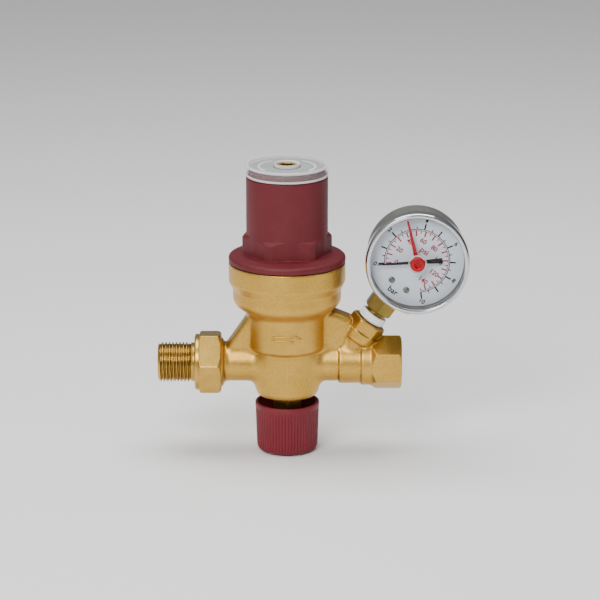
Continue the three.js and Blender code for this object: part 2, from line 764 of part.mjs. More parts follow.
function movementFrame() {
  const outline = [[-5, -11.3], [13, -11.3], [14, -4], [12, 4.5], [-5, 4.5]];
  const plates = [plateXZ(outline, -3.6, -2.8), plateXZ(outline, 3.4, 4.2)];
  const pillars = [[-3.6, -9.6], [-3.6, 3], [11.4, 3]].map(([x, z]) => (
    alongY(rod(1, -3.2, 3.8)).translate(x, 0, z)));
  const holes = [[0, 0], SECTOR_PIVOT].map(([x, z]) => (
    alongY(rod(ARBOR_R + 0.4, -5, 5)).translate(x, 0, z)));
  return cut(join(...plates, ...pillars), ...holes);
}

// A quadrant of teeth on the pinion's side, a hub on its own arbor, and a short tail for the link.
function sectorGear() {
  const [px, pz] = SECTOR_PIVOT;
  const towardsPinion = Math.atan2(-pz, -px);
  const step = 2 * Math.PI / SECTOR_TEETH;
  const first = towardsPinion - 7 * step;
  const arc = teeth(sectorPitch, SECTOR_TEETH, first, 9);
  const heel = [first + 8 * step + Math.PI / 2, first - Math.PI / 2].map((turn) => (
    [1.5 * Math.cos(turn), 1.5 * Math.sin(turn)]));
  const blade = plateXZ([...arc, ...heel], -0.5, 0.5);
  const tailTurn = Math.atan2(TAIL_PIN[1] - pz, TAIL_PIN[0] - px);
  const tail = new THREE.BoxGeometry(4.6, 1, 1.8).translate(2.1, 0, 0).rotateY(-tailTurn);
  const pin = alongY(rod(0.6, -2.3, 0.5)).translate(TAIL_PIN[0] - px, 0, TAIL_PIN[1] - pz);
  const arbor = alongY(rod(ARBOR_R, -4.4, 4.8));
  const hub = alongY(rod(1.8, -1.2, 1.2));
  return join(blade, tail, pin, arbor, hub).translate(px, 0, pz);
}

function link() {
  const [x0, z0] = TAIL_PIN;
  const [x1, z1] = TUBE_TIP;
  const length = Math.hypot(x1 - x0, z1 - z0);
  const bar = new THREE.BoxGeometry(length + 2, 0.5, 2).translate(length / 2, 0, 0);
  const hole = alongY(rod(0.9, -1, 1));
  const slot = new THREE.BoxGeometry(1.2, 2, 1).translate(length, 0, 0);
  const turn = Math.atan2(z1 - z0, x1 - x0);
  return cut(bar, hole, slot).rotateY(-turn).translate(x0, -1.7, z0);
}

// A flattened tube bent into an open ring, from the socket block round to its free tip.
function bourdonTube() {
  class Bend extends THREE.Curve {
    getPoint(t, target = new THREE.Vector3()) {
      const turn = THREE.MathUtils.degToRad(BOURDON_START + t * BOURDON_SWEEP);
      return target.set(BOURDON_R * Math.sin(turn), 2.4, BOURDON_R * Math.cos(turn));
    }
  }
  const flat = [[-2.4, -0.9], [0, -1.4], [2.4, -0.9], [2.4, 0.9], [0, 1.4], [-2.4, 0.9]];
  const section = new THREE.Shape(flat.map(([x, y]) => new THREE.Vector2(x, y)));
  const options = { extrudePath: new Bend(), steps: 20, bevelEnabled: false };
  return new THREE.ExtrudeGeometry(section, options);
}

function pointer() {
  const blade = plateXZ([
    [-0.75, -13], [0.75, -13], [0.9, -1.6], [0.75, 0], [0.55, 15], [0.1, 20.9], [-0.1, 20.9],
    [-0.55, 15], [-0.75, 0], [-0.9, -1.6],
  ], -11.6, -11.2);
  const hub = alongY(rod(2.1, -11.9, -10.6, INSIDE));
  const whole = cut(join(blade, hub), alongY(rod(ARBOR_R + 0.2, -11.4, -10)));
  return whole.rotateY(REST_TURN);
}

// The marker behind the lens, and the knob that turns it from outside.
function setPointer() {
  const blade = plateXZ([
    [-0.95, 0], [-0.45, 22.4], [0, 23.2], [0.45, 22.4], [0.95, 0],
  ], -13, -12.7);
  const hub = alongY(rod(2.4, -13, -12.5, INSIDE));
  const shaft = alongY(rod(1.2, -15, -12.8));
  return join(blade, hub, shaft).rotateY(SET_TURN);
}

function setKnob() {
  const boss = alongY(turned([
    [0, -15.1], [4.2, -15.1], [4.2, -16.6], [3.4, -17.2], [0, -17.2],
  ], INSIDE));
  const hex = alongY(hexagon(3.6, -18, -16));
  return cut(boss, hex);
}

add('movement_frame', movementFrame(), 'brass', gauge);
add('bourdon_tube', bourdonTube(), 'brass', gauge);
add('sector_gear', sectorGear(), 'brass', gauge);
add('link', link(), 'brass', gauge);
add('pointer_arbor', pointerArbor(), 'steel', gauge);
add('pointer', pointer(), 'black', gauge);
add('set_pointer', setPointer(), 'red', gauge);
add('set_pointer_knob', setKnob(), 'red', gauge);

export default valve;
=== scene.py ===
"""The looks of a pressure reducing valve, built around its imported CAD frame.

Shapes are worked out in millimetres in the valve's own frame and turned into metres when an object
is made. X is the pipe axis, Z the valve axis, and -Y the side that the gauge faces.
"""

import math

import bpy
import numpy as np
import openvdb
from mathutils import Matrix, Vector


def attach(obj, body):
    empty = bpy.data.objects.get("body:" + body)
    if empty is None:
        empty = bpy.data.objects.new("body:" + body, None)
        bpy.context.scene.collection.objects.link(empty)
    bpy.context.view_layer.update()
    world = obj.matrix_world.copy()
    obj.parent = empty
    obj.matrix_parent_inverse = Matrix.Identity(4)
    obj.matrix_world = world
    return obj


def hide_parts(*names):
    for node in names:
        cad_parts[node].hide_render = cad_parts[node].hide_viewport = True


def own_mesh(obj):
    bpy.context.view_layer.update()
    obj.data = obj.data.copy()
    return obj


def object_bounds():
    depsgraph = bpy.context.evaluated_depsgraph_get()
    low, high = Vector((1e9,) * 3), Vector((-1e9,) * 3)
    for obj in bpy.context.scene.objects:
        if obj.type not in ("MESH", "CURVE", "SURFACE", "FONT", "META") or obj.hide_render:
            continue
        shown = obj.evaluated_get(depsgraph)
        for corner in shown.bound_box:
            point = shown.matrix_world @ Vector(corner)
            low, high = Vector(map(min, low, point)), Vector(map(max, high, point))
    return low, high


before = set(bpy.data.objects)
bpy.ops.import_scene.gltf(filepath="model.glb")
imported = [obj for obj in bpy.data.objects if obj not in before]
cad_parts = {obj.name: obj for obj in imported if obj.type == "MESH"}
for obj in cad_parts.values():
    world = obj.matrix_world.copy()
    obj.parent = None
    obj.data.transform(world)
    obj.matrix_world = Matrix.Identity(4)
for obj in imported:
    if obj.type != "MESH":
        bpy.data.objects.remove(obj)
CAD_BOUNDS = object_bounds()

MM = 0.001
DEG = math.pi / 180

# ---- Driving dimensions, in millimetres ----

COLLAR_R = 30.4
BODY_TOP = 54.8
NECK_R = 20.2
TRUNK_R = 17.0
BODY_LOW = -17.1
INLET_R = 9.9
OUTLET_AF = 25.3
OUTLET_END = 59.9
SOCKET_R = 9.3
SOCKET_START = 46.0
PITCH = 1.814
THREAD_SIDES = 128
NUT_AF = 30.2
BRANCH_X = 27.2
LEAN = 35.0
GAUGE_AT = 69.8
BOSS_TOP = 27.8
TOWER_R = 21.2
COVER_TOP = 104.4
CAP_RIM = 100.8
CAP_TOP = 106.7
SCALE_LOW, SCALE_TOP = 104.7, 105.3
SCALE_PRINT_LOW, SCALE_PRINT_TOP = 105.32, 105.4
DIAL_Y = -8.5
DIAL_TURN = 36.5
PRINT_LOW, PRINT_TOP = 0.01 - DIAL_Y, 0.05 - DIAL_Y
POINTER_LOW, POINTER_TOP = 11.2, 11.6
MARKER_LOW, MARKER_TOP = 12.55, 12.85
LENS_BACK, LENS_FRONT = 13.2, 14.6
BAR_ZERO = 266.0
DEG_PER_BAR = 26.7
PSI_PER_BAR = 14.5038
KNOB_TOP = -21.1
KNOB_LOW = -47.2
KNOB_RIBS = 60

LEAN_SIN, LEAN_COS = math.sin(LEAN * DEG), math.cos(LEAN * DEG)
GAUGE_X = BRANCH_X + GAUGE_AT * LEAN_SIN
GAUGE_Z = GAUGE_AT * LEAN_COS


# ---- Placing: each function takes points in the valve's frame and gives them in a piece's own ----


def stay(p):
    return p


def along_x(p):
    """The piece's own Z is the pipe axis."""
    return np.stack([-p[..., 2], p[..., 1], p[..., 0]], -1)


def on_branch(p):
    """The piece's own Z is the gauge branch, counted from the pipe axis."""
    x, z = p[..., 0] - BRANCH_X, p[..., 2]
    return np.stack([x * LEAN_COS - z * LEAN_SIN, p[..., 1], x * LEAN_SIN + z * LEAN_COS], -1)


def from_x(p):
    """Back from along_x."""
    return np.stack([p[..., 2], p[..., 1], -p[..., 0]], -1)


def from_branch(p):
    """Back from on_branch."""
    x, z = p[..., 0], p[..., 2]
    across = BRANCH_X + x * LEAN_COS + z * LEAN_SIN
    return np.stack([across, p[..., 1], z * LEAN_COS - x * LEAN_SIN], -1)


def from_dial(p):
    """A piece made about Z, with Z up, is laid down so that its Z points away from the dial."""
    return np.stack([GAUGE_X + p[..., 0], -p[..., 2], GAUGE_Z + p[..., 1]], -1)


# ---- Signed distance fields ----


def lengths(vectors):
    return np.linalg.norm(vectors, axis=1, keepdims=True)


def edges_of(outline):
    return zip(outline, outline[1:] + outline[:1])


def is_clockwise(outline):
    return sum((b[0] - a[0]) * (b[1] + a[1]) for a, b in edges_of(outline)) > 0


def turns_of(sides):
    """The angles of a ring's points, from X."""
    return 2 * math.pi * np.arange(sides) / sides


def ring(r, z, sides):
    """A ring of points about Z. r and z are numbers or one value to a point."""
    turns = turns_of(sides)
    return np.stack([r * np.cos(turns), r * np.sin(turns), np.full(sides, z)], -1)


def outline_distance(outline, x, y):
    """Signed distance from each (x, y) to a closed outline, negative inside."""
    nearest = np.full(x.shape, np.inf)
    inside = np.zeros(x.shape, bool)
    for (ax, ay), (bx, by) in edges_of(outline):
        ex, ey = bx - ax, by - ay
        length = ex * ex + ey * ey
        if length < 1e-12:
            continue
        t = np.clip(((x - ax) * ex + (y - ay) * ey) / length, 0, 1)
        nearest = np.minimum(nearest, (x - ax - t * ex) ** 2 + (y - ay - t * ey) ** 2)
        if by != ay:
            crosses = (ay > y) != (by > y)
            inside ^= crosses & (x < ax + (y - ay) / (by - ay) * ex)
    return np.where(inside, -1, 1) * np.sqrt(nearest)


def blurred(table, reach):
    """A Gaussian blur of a table, reach being its standard deviation in cells."""
    taps = int(math.ceil(3 * reach))
    weights = np.exp(-0.5 * (np.arange(-taps, taps + 1) / reach) ** 2)
    weights /= weights.sum()
    for axis in (0, 1):
        pad = [(taps, taps) if a == axis else (0, 0) for a in (0, 1)]
        wide = np.pad(table, pad, mode="edge")
        count = table.shape[axis]
        table = sum(
            w * np.take(wide, np.arange(i, i + count), axis) for i, w in enumerate(weights)
        )
    return table


class Section:
    """The distance to a flat outline, as a table whose blur gives every corner a small radius."""

    STEP = 0.12
    MARGIN = 3.0

    def __init__(self, outline, soft):
        points = np.array(outline, float)
        self.low = points.min(0) - self.MARGIN
        high = points.max(0) + self.MARGIN
        axes = [np.arange(self.low[i], high[i] + self.STEP, self.STEP) for i in (0, 1)]
        x, y = np.meshgrid(*axes, indexing="ij")
        table = outline_distance([tuple(p) for p in points], x, y)
        self.table = blurred(table, soft / self.STEP)

    def __call__(self, x, y):
        u = (x - self.low[0]) / self.STEP
        v = (y - self.low[1]) / self.STEP
        nu, nv = self.table.shape
        cu, cv = np.clip(u, 0, nu - 1.001), np.clip(v, 0, nv - 1.001)
        outside = np.hypot(u - cu, v - cv) * self.STEP
        i, j = cu.astype(int), cv.astype(int)
        fu, fv = cu - i, cv - j
        t = self.table
        low = t[i, j] * (1 - fu) + t[i + 1, j] * fu
        high = t[i, j + 1] * (1 - fu) + t[i + 1, j + 1] * fu
        return low * (1 - fv) + high * fv + outside


def turned(profile, soft=0.3, place=stay):
    """A solid of revolution from (radius, height) points."""
    outline = list(profile)
    if profile[0][0] == 0:
        outline = outline + [(-r, z) for r, z in reversed(profile)]
    section = Section(outline, soft)

    def field(p):
        q = place(p)
        return section(np.hypot(q[..., 0], q[..., 1]), q[..., 2])

    return field


def rod(r, low, high, soft=0.2, place=stay):
    return turned([(0, low), (r, low), (r, high), (0, high)], soft, place)


def prism(outline, low, high, soft=0.3, place=stay):
    """A prism on an outline of (x, y) points."""
    section = Section(outline, soft)
    middle, half = (low + high) / 2, (high - low) / 2

    def field(p):
        q = place(p)
        side = section(q[..., 0], q[..., 1])
        return soft_max(side, np.abs(q[..., 2] - middle) - half, 2 * soft)

    return field


def hexagon(across_flats, low, high, first_corner=0, soft=0.25, place=stay):
    r = across_flats / math.sqrt(3)
    turns = [(first_corner + 60 * i) * DEG for i in range(6)]
    return prism([(r * math.cos(a), r * math.sin(a)) for a in turns], low, high, soft, place)


def web(outline, thickness, edge):
    """An upright web across Y, from (x, z) points, with rounded edges."""
    section = Section(outline, 0.8)

    def field(p):
        side = section(p[..., 0], p[..., 2])
        return soft_max(side, np.abs(p[..., 1]) - thickness / 2, edge)

    return field


def soft_min(a, b, k):
    h = np.maximum(k - np.abs(a - b), 0) / k
    return np.minimum(a, b) - h * h * k / 4


def soft_max(a, b, k):
    return -soft_min(-a, -b, k)


def join(first, *others):
    """Joins fields. Each other is a (field, fillet) pair."""

    def field(p):
        d = first(p)
        for other, fillet in others:
            d = soft_min(d, other(p), fillet)
        return d

    return field


def cut(first, *tools, edge=0.4):
    def field(p):
        d = first(p)
        for tool in tools:
            d = soft_max(d, -tool(p), edge)
        return d

    return field


def both(first, second, edge=0.5):
    return lambda p: soft_max(first(p), second(p), edge)


def in_chunks(field, points, size=400000):
    return np.concatenate([field(points[i : i + size]) for i in range(0, len(points), size)])


def gradient(field, points, reach=0.15):
    parts = []
    for axis in range(3):
        offset = np.zeros(3)
        offset[axis] = reach
        ahead = in_chunks(field, points + offset)
        parts.append((ahead - in_chunks(field, points - offset)) / (2 * reach))
    return np.stack(parts, -1)


def skin(field, low, high, fine):
    """The field's zero surface as (vertices, quads, normals). Only blocks near it are sampled.
    """
    step = fine
    block = 4
    low, high = np.array(low, float), np.array(high, float)
    count = np.ceil((high - low) / (step * block)).astype(int)
    corners = np.indices(count).reshape(3, -1).T
    starts = low + corners * step * block
    middle = in_chunks(field, starts + step * block / 2)
    band = step * block
    values = np.repeat(np.clip(middle, -band, band)[:, None], block**3, 1)
    near = np.flatnonzero(np.abs(middle) < band)
    offsets = np.indices((block,) * 3).reshape(3, -1).T * step
    points = (starts[near][:, None, :] + offsets[None]).reshape(-1, 3)
    values[near] = np.clip(in_chunks(field, points), -band, band).reshape(len(near), -1)
    grid = values.reshape(*count, block, block, block).transpose(0, 3, 1, 4, 2, 5)
    grid = np.ascontiguousarray(grid.reshape(count * block), dtype=np.float32)
    volume = openvdb.FloatGrid(float(band))
    volume.copyFromArray(grid)
    vertices, quads = volume.convertToQuads(isovalue=0.0)
    vertices = low + vertices.astype(float) * step
    for _ in range(3):
        slope = gradient(field, vertices)
        size = np.maximum((slope**2).sum(1), 0.2)
        move = -in_chunks(field, vertices)[:, None] * slope / size[:, None]
        vertices = vertices + move * np.minimum(1, 0.5 * step / np.maximum(lengths(move), 1e-9))
    normals = gradient(field, vertices, 0.2)
    normals /= np.maximum(lengths(normals), 1e-9)
    return vertices, quads.astype(int), normals


# ---- Meshes made directly ----


def rounded(profile, radius, steps=3):
    """A (radius, height) profile with each corner off the axis turned into a short arc."""
    points = [np.array(p, float) for p in profile]
    closed = profile[0][0] > 0
    out = []
    for i, corner in enumerate(points):
        if not closed and i in (0, len(points) - 1):
            out.append(tuple(corner))
            continue
        before, after = points[i - 1], points[(i + 1) % len(points)]
        to_before, to_after = before - corner, after - corner
        room, way = np.linalg.norm(to_before), np.linalg.norm(to_after)
        back = min(radius, 0.45 * room, 0.45 * way)
        start = corner + to_before / room * back
        end = corner + to_after / way * back
        for k in range(steps + 1):
            t = k / steps
            bend = (1 - t) ** 2 * start + 2 * t * (1 - t) * corner + t * t * end
            out.append(tuple(bend))
    return out


def lathe(profile, sides, radius):
    """Vertices and faces of a solid of revolution about Z, from (radius, height) points."""
    outline = rounded(profile, radius)
    if is_clockwise(outline):
        outline.reverse()
    closed = outline[0][0] > 0
    vertices, rings = [], []
    for r, z in outline:
        if r < 1e-9:
            rings.append([len(vertices)])
            vertices.append((0, 0, z))
            continue
        rings.append(list(range(len(vertices), len(vertices) + sides)))
        vertices.extend(ring(r, z, sides))
    faces = []
    pairs = list(zip(rings, rings[1:])) + ([(rings[-1], rings[0])] if closed else [])
    for low, high in pairs:
        for i in range(sides):
            j = (i + 1) % sides
            if len(low) == 1 and len(high) == 1:
                break
            if len(low) == 1:
                faces.append((low[0], high[j], high[i]))
            elif len(high) == 1:
                faces.append((low[i], low[j], high[0]))
            else:
                faces.append((low[i], low[j], high[j], high[i]))
    return np.array(vertices, float), faces


def sheet_of(rows, columns, wrap_rows=False):
    """Quads over rings of vertices stored row by row."""
    faces = []
    for i in range(rows if wrap_rows else rows - 1):
        for j in range(columns):
            a, b = i * columns, ((i + 1) % rows) * columns
            k = (j + 1) % columns
            faces.append((a + j, a + k, b + k, b + j))
    return faces


def flat_ring(inner, outer, low, high, sides, radius):
    return lathe([(inner, low), (outer, low), (outer, high), (inner, high)], sides, radius)


def swept(centres, radius, sides=12, closed=False):
    """A round wire along a line of points."""
    c = np.array(centres, float)
    ahead = np.roll(c, -1, 0) - np.roll(c, 1, 0)
    if not closed:
        ahead[0], ahead[-1] = c[1] - c[0], c[-1] - c[-2]
    ahead /= lengths(ahead)
    guide = np.array([0.12, 0.93, 0.35])
    side = np.cross(ahead, guide)
    side /= lengths(side)
    up = np.cross(side, ahead)
    turns = turns_of(sides)[None, :, None]
    around = np.cos(turns) * side[:, None] + np.sin(turns) * up[:, None]
    vertices = (c[:, None] + radius * around).reshape(-1, 3)
    faces = sheet_of(len(c), sides, wrap_rows=closed)
    if not closed:
        faces.append(tuple(range(sides))[::-1])
        faces.append(tuple(range((len(c) - 1) * sides, len(c) * sides)))
    return vertices, faces


def slab(outline, low, high):
    """A flat plate about Z from (x, y) points."""
    n = len(outline)
    if is_clockwise(outline):
        outline = outline[::-1]
    vertices = [(x, y, low) for x, y in outline] + [(x, y, high) for x, y in outline]
    faces = [tuple(range(n))[::-1], tuple(range(n, 2 * n))]
    faces += [(i, (i + 1) % n, n + (i + 1) % n, n + i) for i in range(n)]
    return np.array(vertices, float), faces


def merged(*shapes):
    """Several (vertices, faces) as one."""
    vertices, faces, start = [], [], 0
    for v, f in shapes:
        vertices.append(v)
        faces += [tuple(i + start for i in face) for face in f]
        start += len(v)
    return np.concatenate(vertices), faces


# ---- Objects ----


def add(name, data):
    obj = bpy.data.objects.new(name, data)
    bpy.context.scene.collection.objects.link(obj)
    return obj


def piece(name, shape, look, body="root", replaces=(), place=stay, sharp=35):
    """Makes an object from (vertices, faces) or (vertices, quads, normals), in millimetres."""
    vertices, faces = shape[0], shape[1]
    vertices = place(np.asarray(vertices, float)) * MM
    mesh = bpy.data.meshes.new(name)
    if isinstance(faces, np.ndarray):
        corners = faces.reshape(-1)
        starts = np.arange(len(faces)) * faces.shape[1]
    else:
        corners = np.array([i for face in faces for i in face])
        sizes = np.array([len(face) for face in faces])
        starts = np.concatenate([[0], np.cumsum(sizes)[:-1]])
    mesh.vertices.add(len(vertices))
    mesh.vertices.foreach_set("co", vertices.reshape(-1))
    mesh.loops.add(len(corners))
    mesh.loops.foreach_set("vertex_index", corners.astype(np.int32))
    mesh.polygons.add(len(starts))
    mesh.polygons.foreach_set("loop_start", starts.astype(np.int32))
    mesh.update(calc_edges=True)
    mesh.validate()
    mesh.polygons.foreach_set("use_smooth", np.ones(len(mesh.polygons), bool))
    if len(shape) == 3:
        mesh.normals_split_custom_set_from_vertices(shape[2])
    else:
        mesh.set_sharp_from_angle(angle=sharp * DEG)
    mesh.materials.append(LOOKS[look])
    obj = add(name, mesh)
    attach(obj, body)
    if replaces:
        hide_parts(*([replaces] if isinstance(replaces, str) else replaces))
    return obj


# ---- Materials ----


def srgb(r, g, b):
    """A colour given as 0-255 screen values, in linear light."""
    values = []
    for v in (r, g, b):
        v /= 255
        values.append(v / 12.92 if v <= 0.04045 else ((v + 0.055) / 1.055) ** 2.4)
    return (*values, 1.0)


class Look:
    """A material in the making, with textures laid in the object's own space."""

    def __init__(self, name):
        self.material = bpy.data.materials.new(name)
        self.material.use_nodes = True
        self.tree = self.material.node_tree
        self.place = self.node("TexCoord", {}).outputs["Object"]

    def fill(self, node, inputs):
        """Gives each input its value, or joins it to the socket given for it."""
        for name, value in inputs.items():
            if isinstance(value, bpy.types.NodeSocket):
                self.tree.links.new(value, node.inputs[name])
            else:
                node.inputs[name].default_value = value
        return node

    def node(self, kind, inputs):
        return self.fill(self.tree.nodes.new("ShaderNode" + kind), inputs)

    def finished(self, inputs):
        self.fill(self.tree.nodes["Principled BSDF"], inputs)
        return self.material

    def noise(self, per_mm, detail=4.0, roughness=0.55, stretch=None):
        """A noise texture with per_mm features to the millimetre. stretch scales each axis."""
        place = self.place
        if stretch:
            place = self.node("Mapping", {"Scale": stretch, "Vector": place}).outputs["Vector"]
        return self.node("TexNoise", {
            "Scale": per_mm / MM, "Detail": detail, "Roughness": roughness, "Vector": place,
        }).outputs["Fac"]

    def ramp(self, source, stops):
        """A colour ramp. Stops are (position, colour)."""
        node = self.node("ValToRGB", {"Fac": source})
        elements = node.color_ramp.elements
        elements[0].position, elements[0].color = stops[0]
        elements[1].position, elements[1].color = stops[-1]
        for position, colour in stops[1:-1]:
            elements.new(position).color = colour
        return node.outputs["Color"]

    def mapped(self, source, low, high):
        """A noise, whose values lie mostly between 0.3 and 0.7, spread from low to high."""
        return self.node("MapRange", {
            "Value": source, "From Min": 0.3, "From Max": 0.7, "To Min": low, "To Max": high,
        }).outputs["Result"]

    def bump(self, height, strength, distance, **under):
        """A bump of a height texture, laid over another bump where Normal gives one."""
        inputs = {"Height": height, "Strength": strength, "Distance": distance * MM, **under}
        return self.node("Bump", inputs).outputs["Normal"]

    def multiplied(self, first, second):
        node = self.node("Mix", {"Factor": 1.0})
        node.data_type = "RGBA"
        node.blend_type = "MULTIPLY"
        colours = [i for i in node.inputs if i.type == "RGBA"]
        self.tree.links.new(first, colours[0])
        self.tree.links.new(second, colours[1])
        return next(o for o in node.outputs if o.type == "RGBA")

    def darkened(self, tone):
        """Painted shade: the base colour is darkened by ambient occlusion in the creases and round
        the foot of each fitting.
        """
        crease_occlusion = self.node("AmbientOcclusion", {"Distance": 4 * MM})
        crease_occlusion.samples = 8
        return self.multiplied(tone, self.ramp(crease_occlusion.outputs["AO"], [
            (0.35, (0.38, 0.36, 0.42, 1)), (0.72, (0.80, 0.79, 0.82, 1)),
            (0.95, (1.0, 1.0, 1.0, 1))]))


def cast_brass():
    """Hot-forged brass, blasted: a fine grain over soft patches of tone."""
    look = Look("cast brass")
    grain, pits = look.noise(2.6, 3, 0.6), look.noise(1.25, 3, 0.6)
    tone = look.ramp(look.noise(0.06, 3), [
        (0.30, (0.63, 0.37, 0.068, 1)), (0.52, (0.68, 0.405, 0.08, 1)),
        (0.72, (0.74, 0.45, 0.096, 1))])
    speckle = look.ramp(pits, [
        (0.32, (0.74, 0.73, 0.70, 1)), (0.50, (0.93, 0.93, 0.93, 1)),
        (0.66, (1.0, 1.0, 1.0, 1))])
    return look.finished({
        # The base colour carries painted shade in its creases.
        "Base Color": look.darkened(look.multiplied(tone, speckle)),
        "Metallic": 1.0,
        "Roughness": look.mapped(pits, 0.32, 0.46),
        "Normal": look.bump(grain, 0.5, 0.08, Normal=look.bump(pits, 0.6, 0.12))})


def turned_brass():
    """Machined brass: brighter, with faint tool lines."""
    look = Look("turned brass")
    lines = look.noise(2.2, 2, 0.5, stretch=(3.0, 1.0, 0.7))
    tone = look.ramp(look.noise(0.15, 3), [
        (0.30, (0.55, 0.335, 0.068, 1)), (0.70, (0.63, 0.395, 0.09, 1))])
    return look.finished({
        # The base colour carries painted shade in its creases.
        "Base Color": look.darkened(tone),
        "Metallic": 1.0,
        "Roughness": look.mapped(lines, 0.24, 0.36),
        "Normal": look.bump(lines, 0.18, 0.04)})


def two_tone(look, patches, fine, dark, light, rough, strength, depth):
    """The inputs that metal and plastic share: soft patches of tone under a fine grain."""
    return {
        "Base Color": look.ramp(patches, [(0.3, dark), (0.7, light)]),
        "Roughness": look.mapped(fine, *rough),
        "Normal": look.bump(fine, strength, depth)}


def metal(name, dark, light, rough, grain=1.5, strength=0.12, stretch=None):
    look = Look(name)
    patches, fine = look.noise(0.2, 3), look.noise(grain, 3, 0.55, stretch)
    shared = two_tone(look, patches, fine, dark, light, rough, strength, 0.03)
    return look.finished({**shared, "Metallic": 1.0})


def plastic(name, dark, light, rough, grain=1.8, strength=0.15, specular=0.5):
    look = Look(name)
    patches, fine = look.noise(0.08, 4), look.noise(grain, 3, 0.6)
    shared = two_tone(look, patches, fine, dark, light, rough, strength, 0.03)
    return look.finished({**shared, "Specular IOR Level": specular})


def clear(name, tint, rough, alpha):
    """Clear plastic or glass, with the faint haze of handling."""
    look = Look(name)
    haze = look.noise(0.12, 4)
    return look.finished({
        "Base Color": tint, "Roughness": look.mapped(haze, *rough), "Alpha": alpha, "IOR": 1.49})


LOOKS = {
    "brass_cast": cast_brass(),
    "brass_turned": turned_brass(),
    "brass_bright": metal("rolled brass", srgb(212, 182, 120), srgb(232, 206, 146), (0.2, 0.34)),
    # Drawn brass, much darker than the other brass fittings.
    "brass_dark": metal("dark drawn brass", (0.22, 0.15, 0.036, 1), (0.30, 0.21, 0.052, 1),
                        (0.28, 0.42), 1.2, 0.2, (1.0, 1.0, 3.0)),
    "red": plastic("red moulding", (0.105, 0.006, 0.011, 1), (0.13, 0.009, 0.015, 1),
                   (0.46, 0.58), specular=0.35),
    "red_knob": plastic("red knob moulding", (0.15, 0.005, 0.013, 1), (0.18, 0.008, 0.018, 1),
                        (0.42, 0.54), specular=0.4),
    "clear": clear("clear cap", srgb(215, 217, 217), (0.04, 0.12), 0.10),
    # Painted highlight: a pale, half-clear material that stands for light caught on the edges of
    # clear parts.
    "clear_edge_highlight": clear("clear cap painted highlight", srgb(238, 236, 234), (0.15, 0.3), 0.62),
    "lens": clear("gauge lens", srgb(90, 94, 100), (0.02, 0.05), 0.05),
    "label": plastic("grey label", srgb(150, 153, 155), srgb(162, 165, 167), (0.45, 0.6)),
    "label_print": plastic("white print", srgb(232, 234, 234), srgb(242, 243, 243), (0.5, 0.6)),
    "nylon": plastic("white nylon", srgb(226, 222, 210), srgb(238, 235, 225), (0.4, 0.55)),
    "rubber": plastic("black rubber", srgb(22, 22, 23), srgb(34, 34, 35), (0.6, 0.8), 3.0),
    "fibre": plastic("red fibre", srgb(104, 46, 36), srgb(130, 60, 46), (0.75, 0.9), 4.0, 0.4),
    "wire": metal("spring wire", srgb(120, 122, 124), srgb(160, 162, 164), (0.28, 0.42)),
    "steel": metal("turned steel", srgb(168, 170, 172), srgb(196, 198, 200), (0.25, 0.4)),
    "case": metal("gauge case", srgb(126, 126, 121), srgb(140, 140, 135), (0.5, 0.62)),
    "chrome": metal("chrome", srgb(196, 198, 202), srgb(208, 210, 214), (0.06, 0.12), 0.5, 0.03),
    "dial": plastic("dial enamel", (0.76, 0.82, 0.90, 1), (0.80, 0.86, 0.94, 1), (0.5, 0.62),
                    2.0, 0.05),
    "print_black": plastic("black print", srgb(8, 9, 14), srgb(16, 17, 22), (0.6, 0.7),
                           specular=0.2),
    "print_red": plastic("red print", (0.33, 0.004, 0.014, 1), (0.38, 0.006, 0.02, 1),
                         (0.6, 0.7), specular=0.2),
    "black": plastic("black enamel", srgb(6, 6, 7), srgb(12, 12, 14), (0.4, 0.5), specular=0.25),
    "marker": plastic("marker red", (0.36, 0.0004, 0.006, 1), (0.42, 0.0006, 0.008, 1),
                      (0.22, 0.32), 1.0, 0.04, specular=0.3),
    "screw": metal("rivet steel", srgb(104, 102, 94), srgb(132, 128, 118), (0.25, 0.4)),
    "tape": plastic("thread tape", (0.92, 0.92, 0.9, 1), (0.97, 0.97, 0.96, 1), (0.5, 0.7),
                    1.2, 0.5),
}

# ---- Valve body ----


def bezier(points, steps):
    t = np.linspace(0, 1, steps + 1)[:, None]
    p = np.array(points, float)
    first, last = (1 - t) ** 3 * p[0] + 3 * (1 - t) ** 2 * t * p[1], t**3 * p[3]
    return [tuple(q) for q in first + 3 * (1 - t) * t**2 * p[2] + last]


def body_barrel():
    bowl = bezier([(NECK_R, 25), (NECK_R, 30.5), (28.2, 29.5), (28.2, 36.5)], 16)
    return turned([
        (0, BODY_LOW), (14.7, BODY_LOW), (15.4, -16.6), (16.5, -14.6), (TRUNK_R, -11.5),
        (TRUNK_R, 7.6), (19.3, 8.9), (NECK_R, 10.2), *bowl, (28.2, 40.5), (28.7, 41.5),
        (COLLAR_R, 45), (COLLAR_R, BODY_TOP), (0, BODY_TOP)], 0.35)


def inlet_pipe():
    return turned([
        (0, -41.5), (12.1, -41.5), (12.9, -40.7), (12.9, -34.2), (12.3, -33.5), (10.9, -32.9),
        (10.2, -32.1), (INLET_R, -30.6), (INLET_R, 0), (0, 0)], 0.25, along_x)


def outlet_pipe():
    return turned([
        (0, 0), (INLET_R, 0), (INLET_R, 26.6), (11.1, 27.3), (11.1, 38.2), (11.5, 38.5),
        (12.1, 38.9), (12.1, 43.6), (11.9, 44.4), (0, 44.8)], 0.3, along_x)


def outlet_hexagon():
    corner = OUTLET_AF / math.sqrt(3)
    chamfers = turned([
        (0, 44), (12.1, 44), (corner + 0.2, 46.9), (corner + 0.2, 58.7), (12.7, OUTLET_END),
        (0, OUTLET_END)], 0.2, along_x)
    return both(hexagon(OUTLET_AF, 43, 61, 0, 0.3, along_x), chamfers, 0.4)


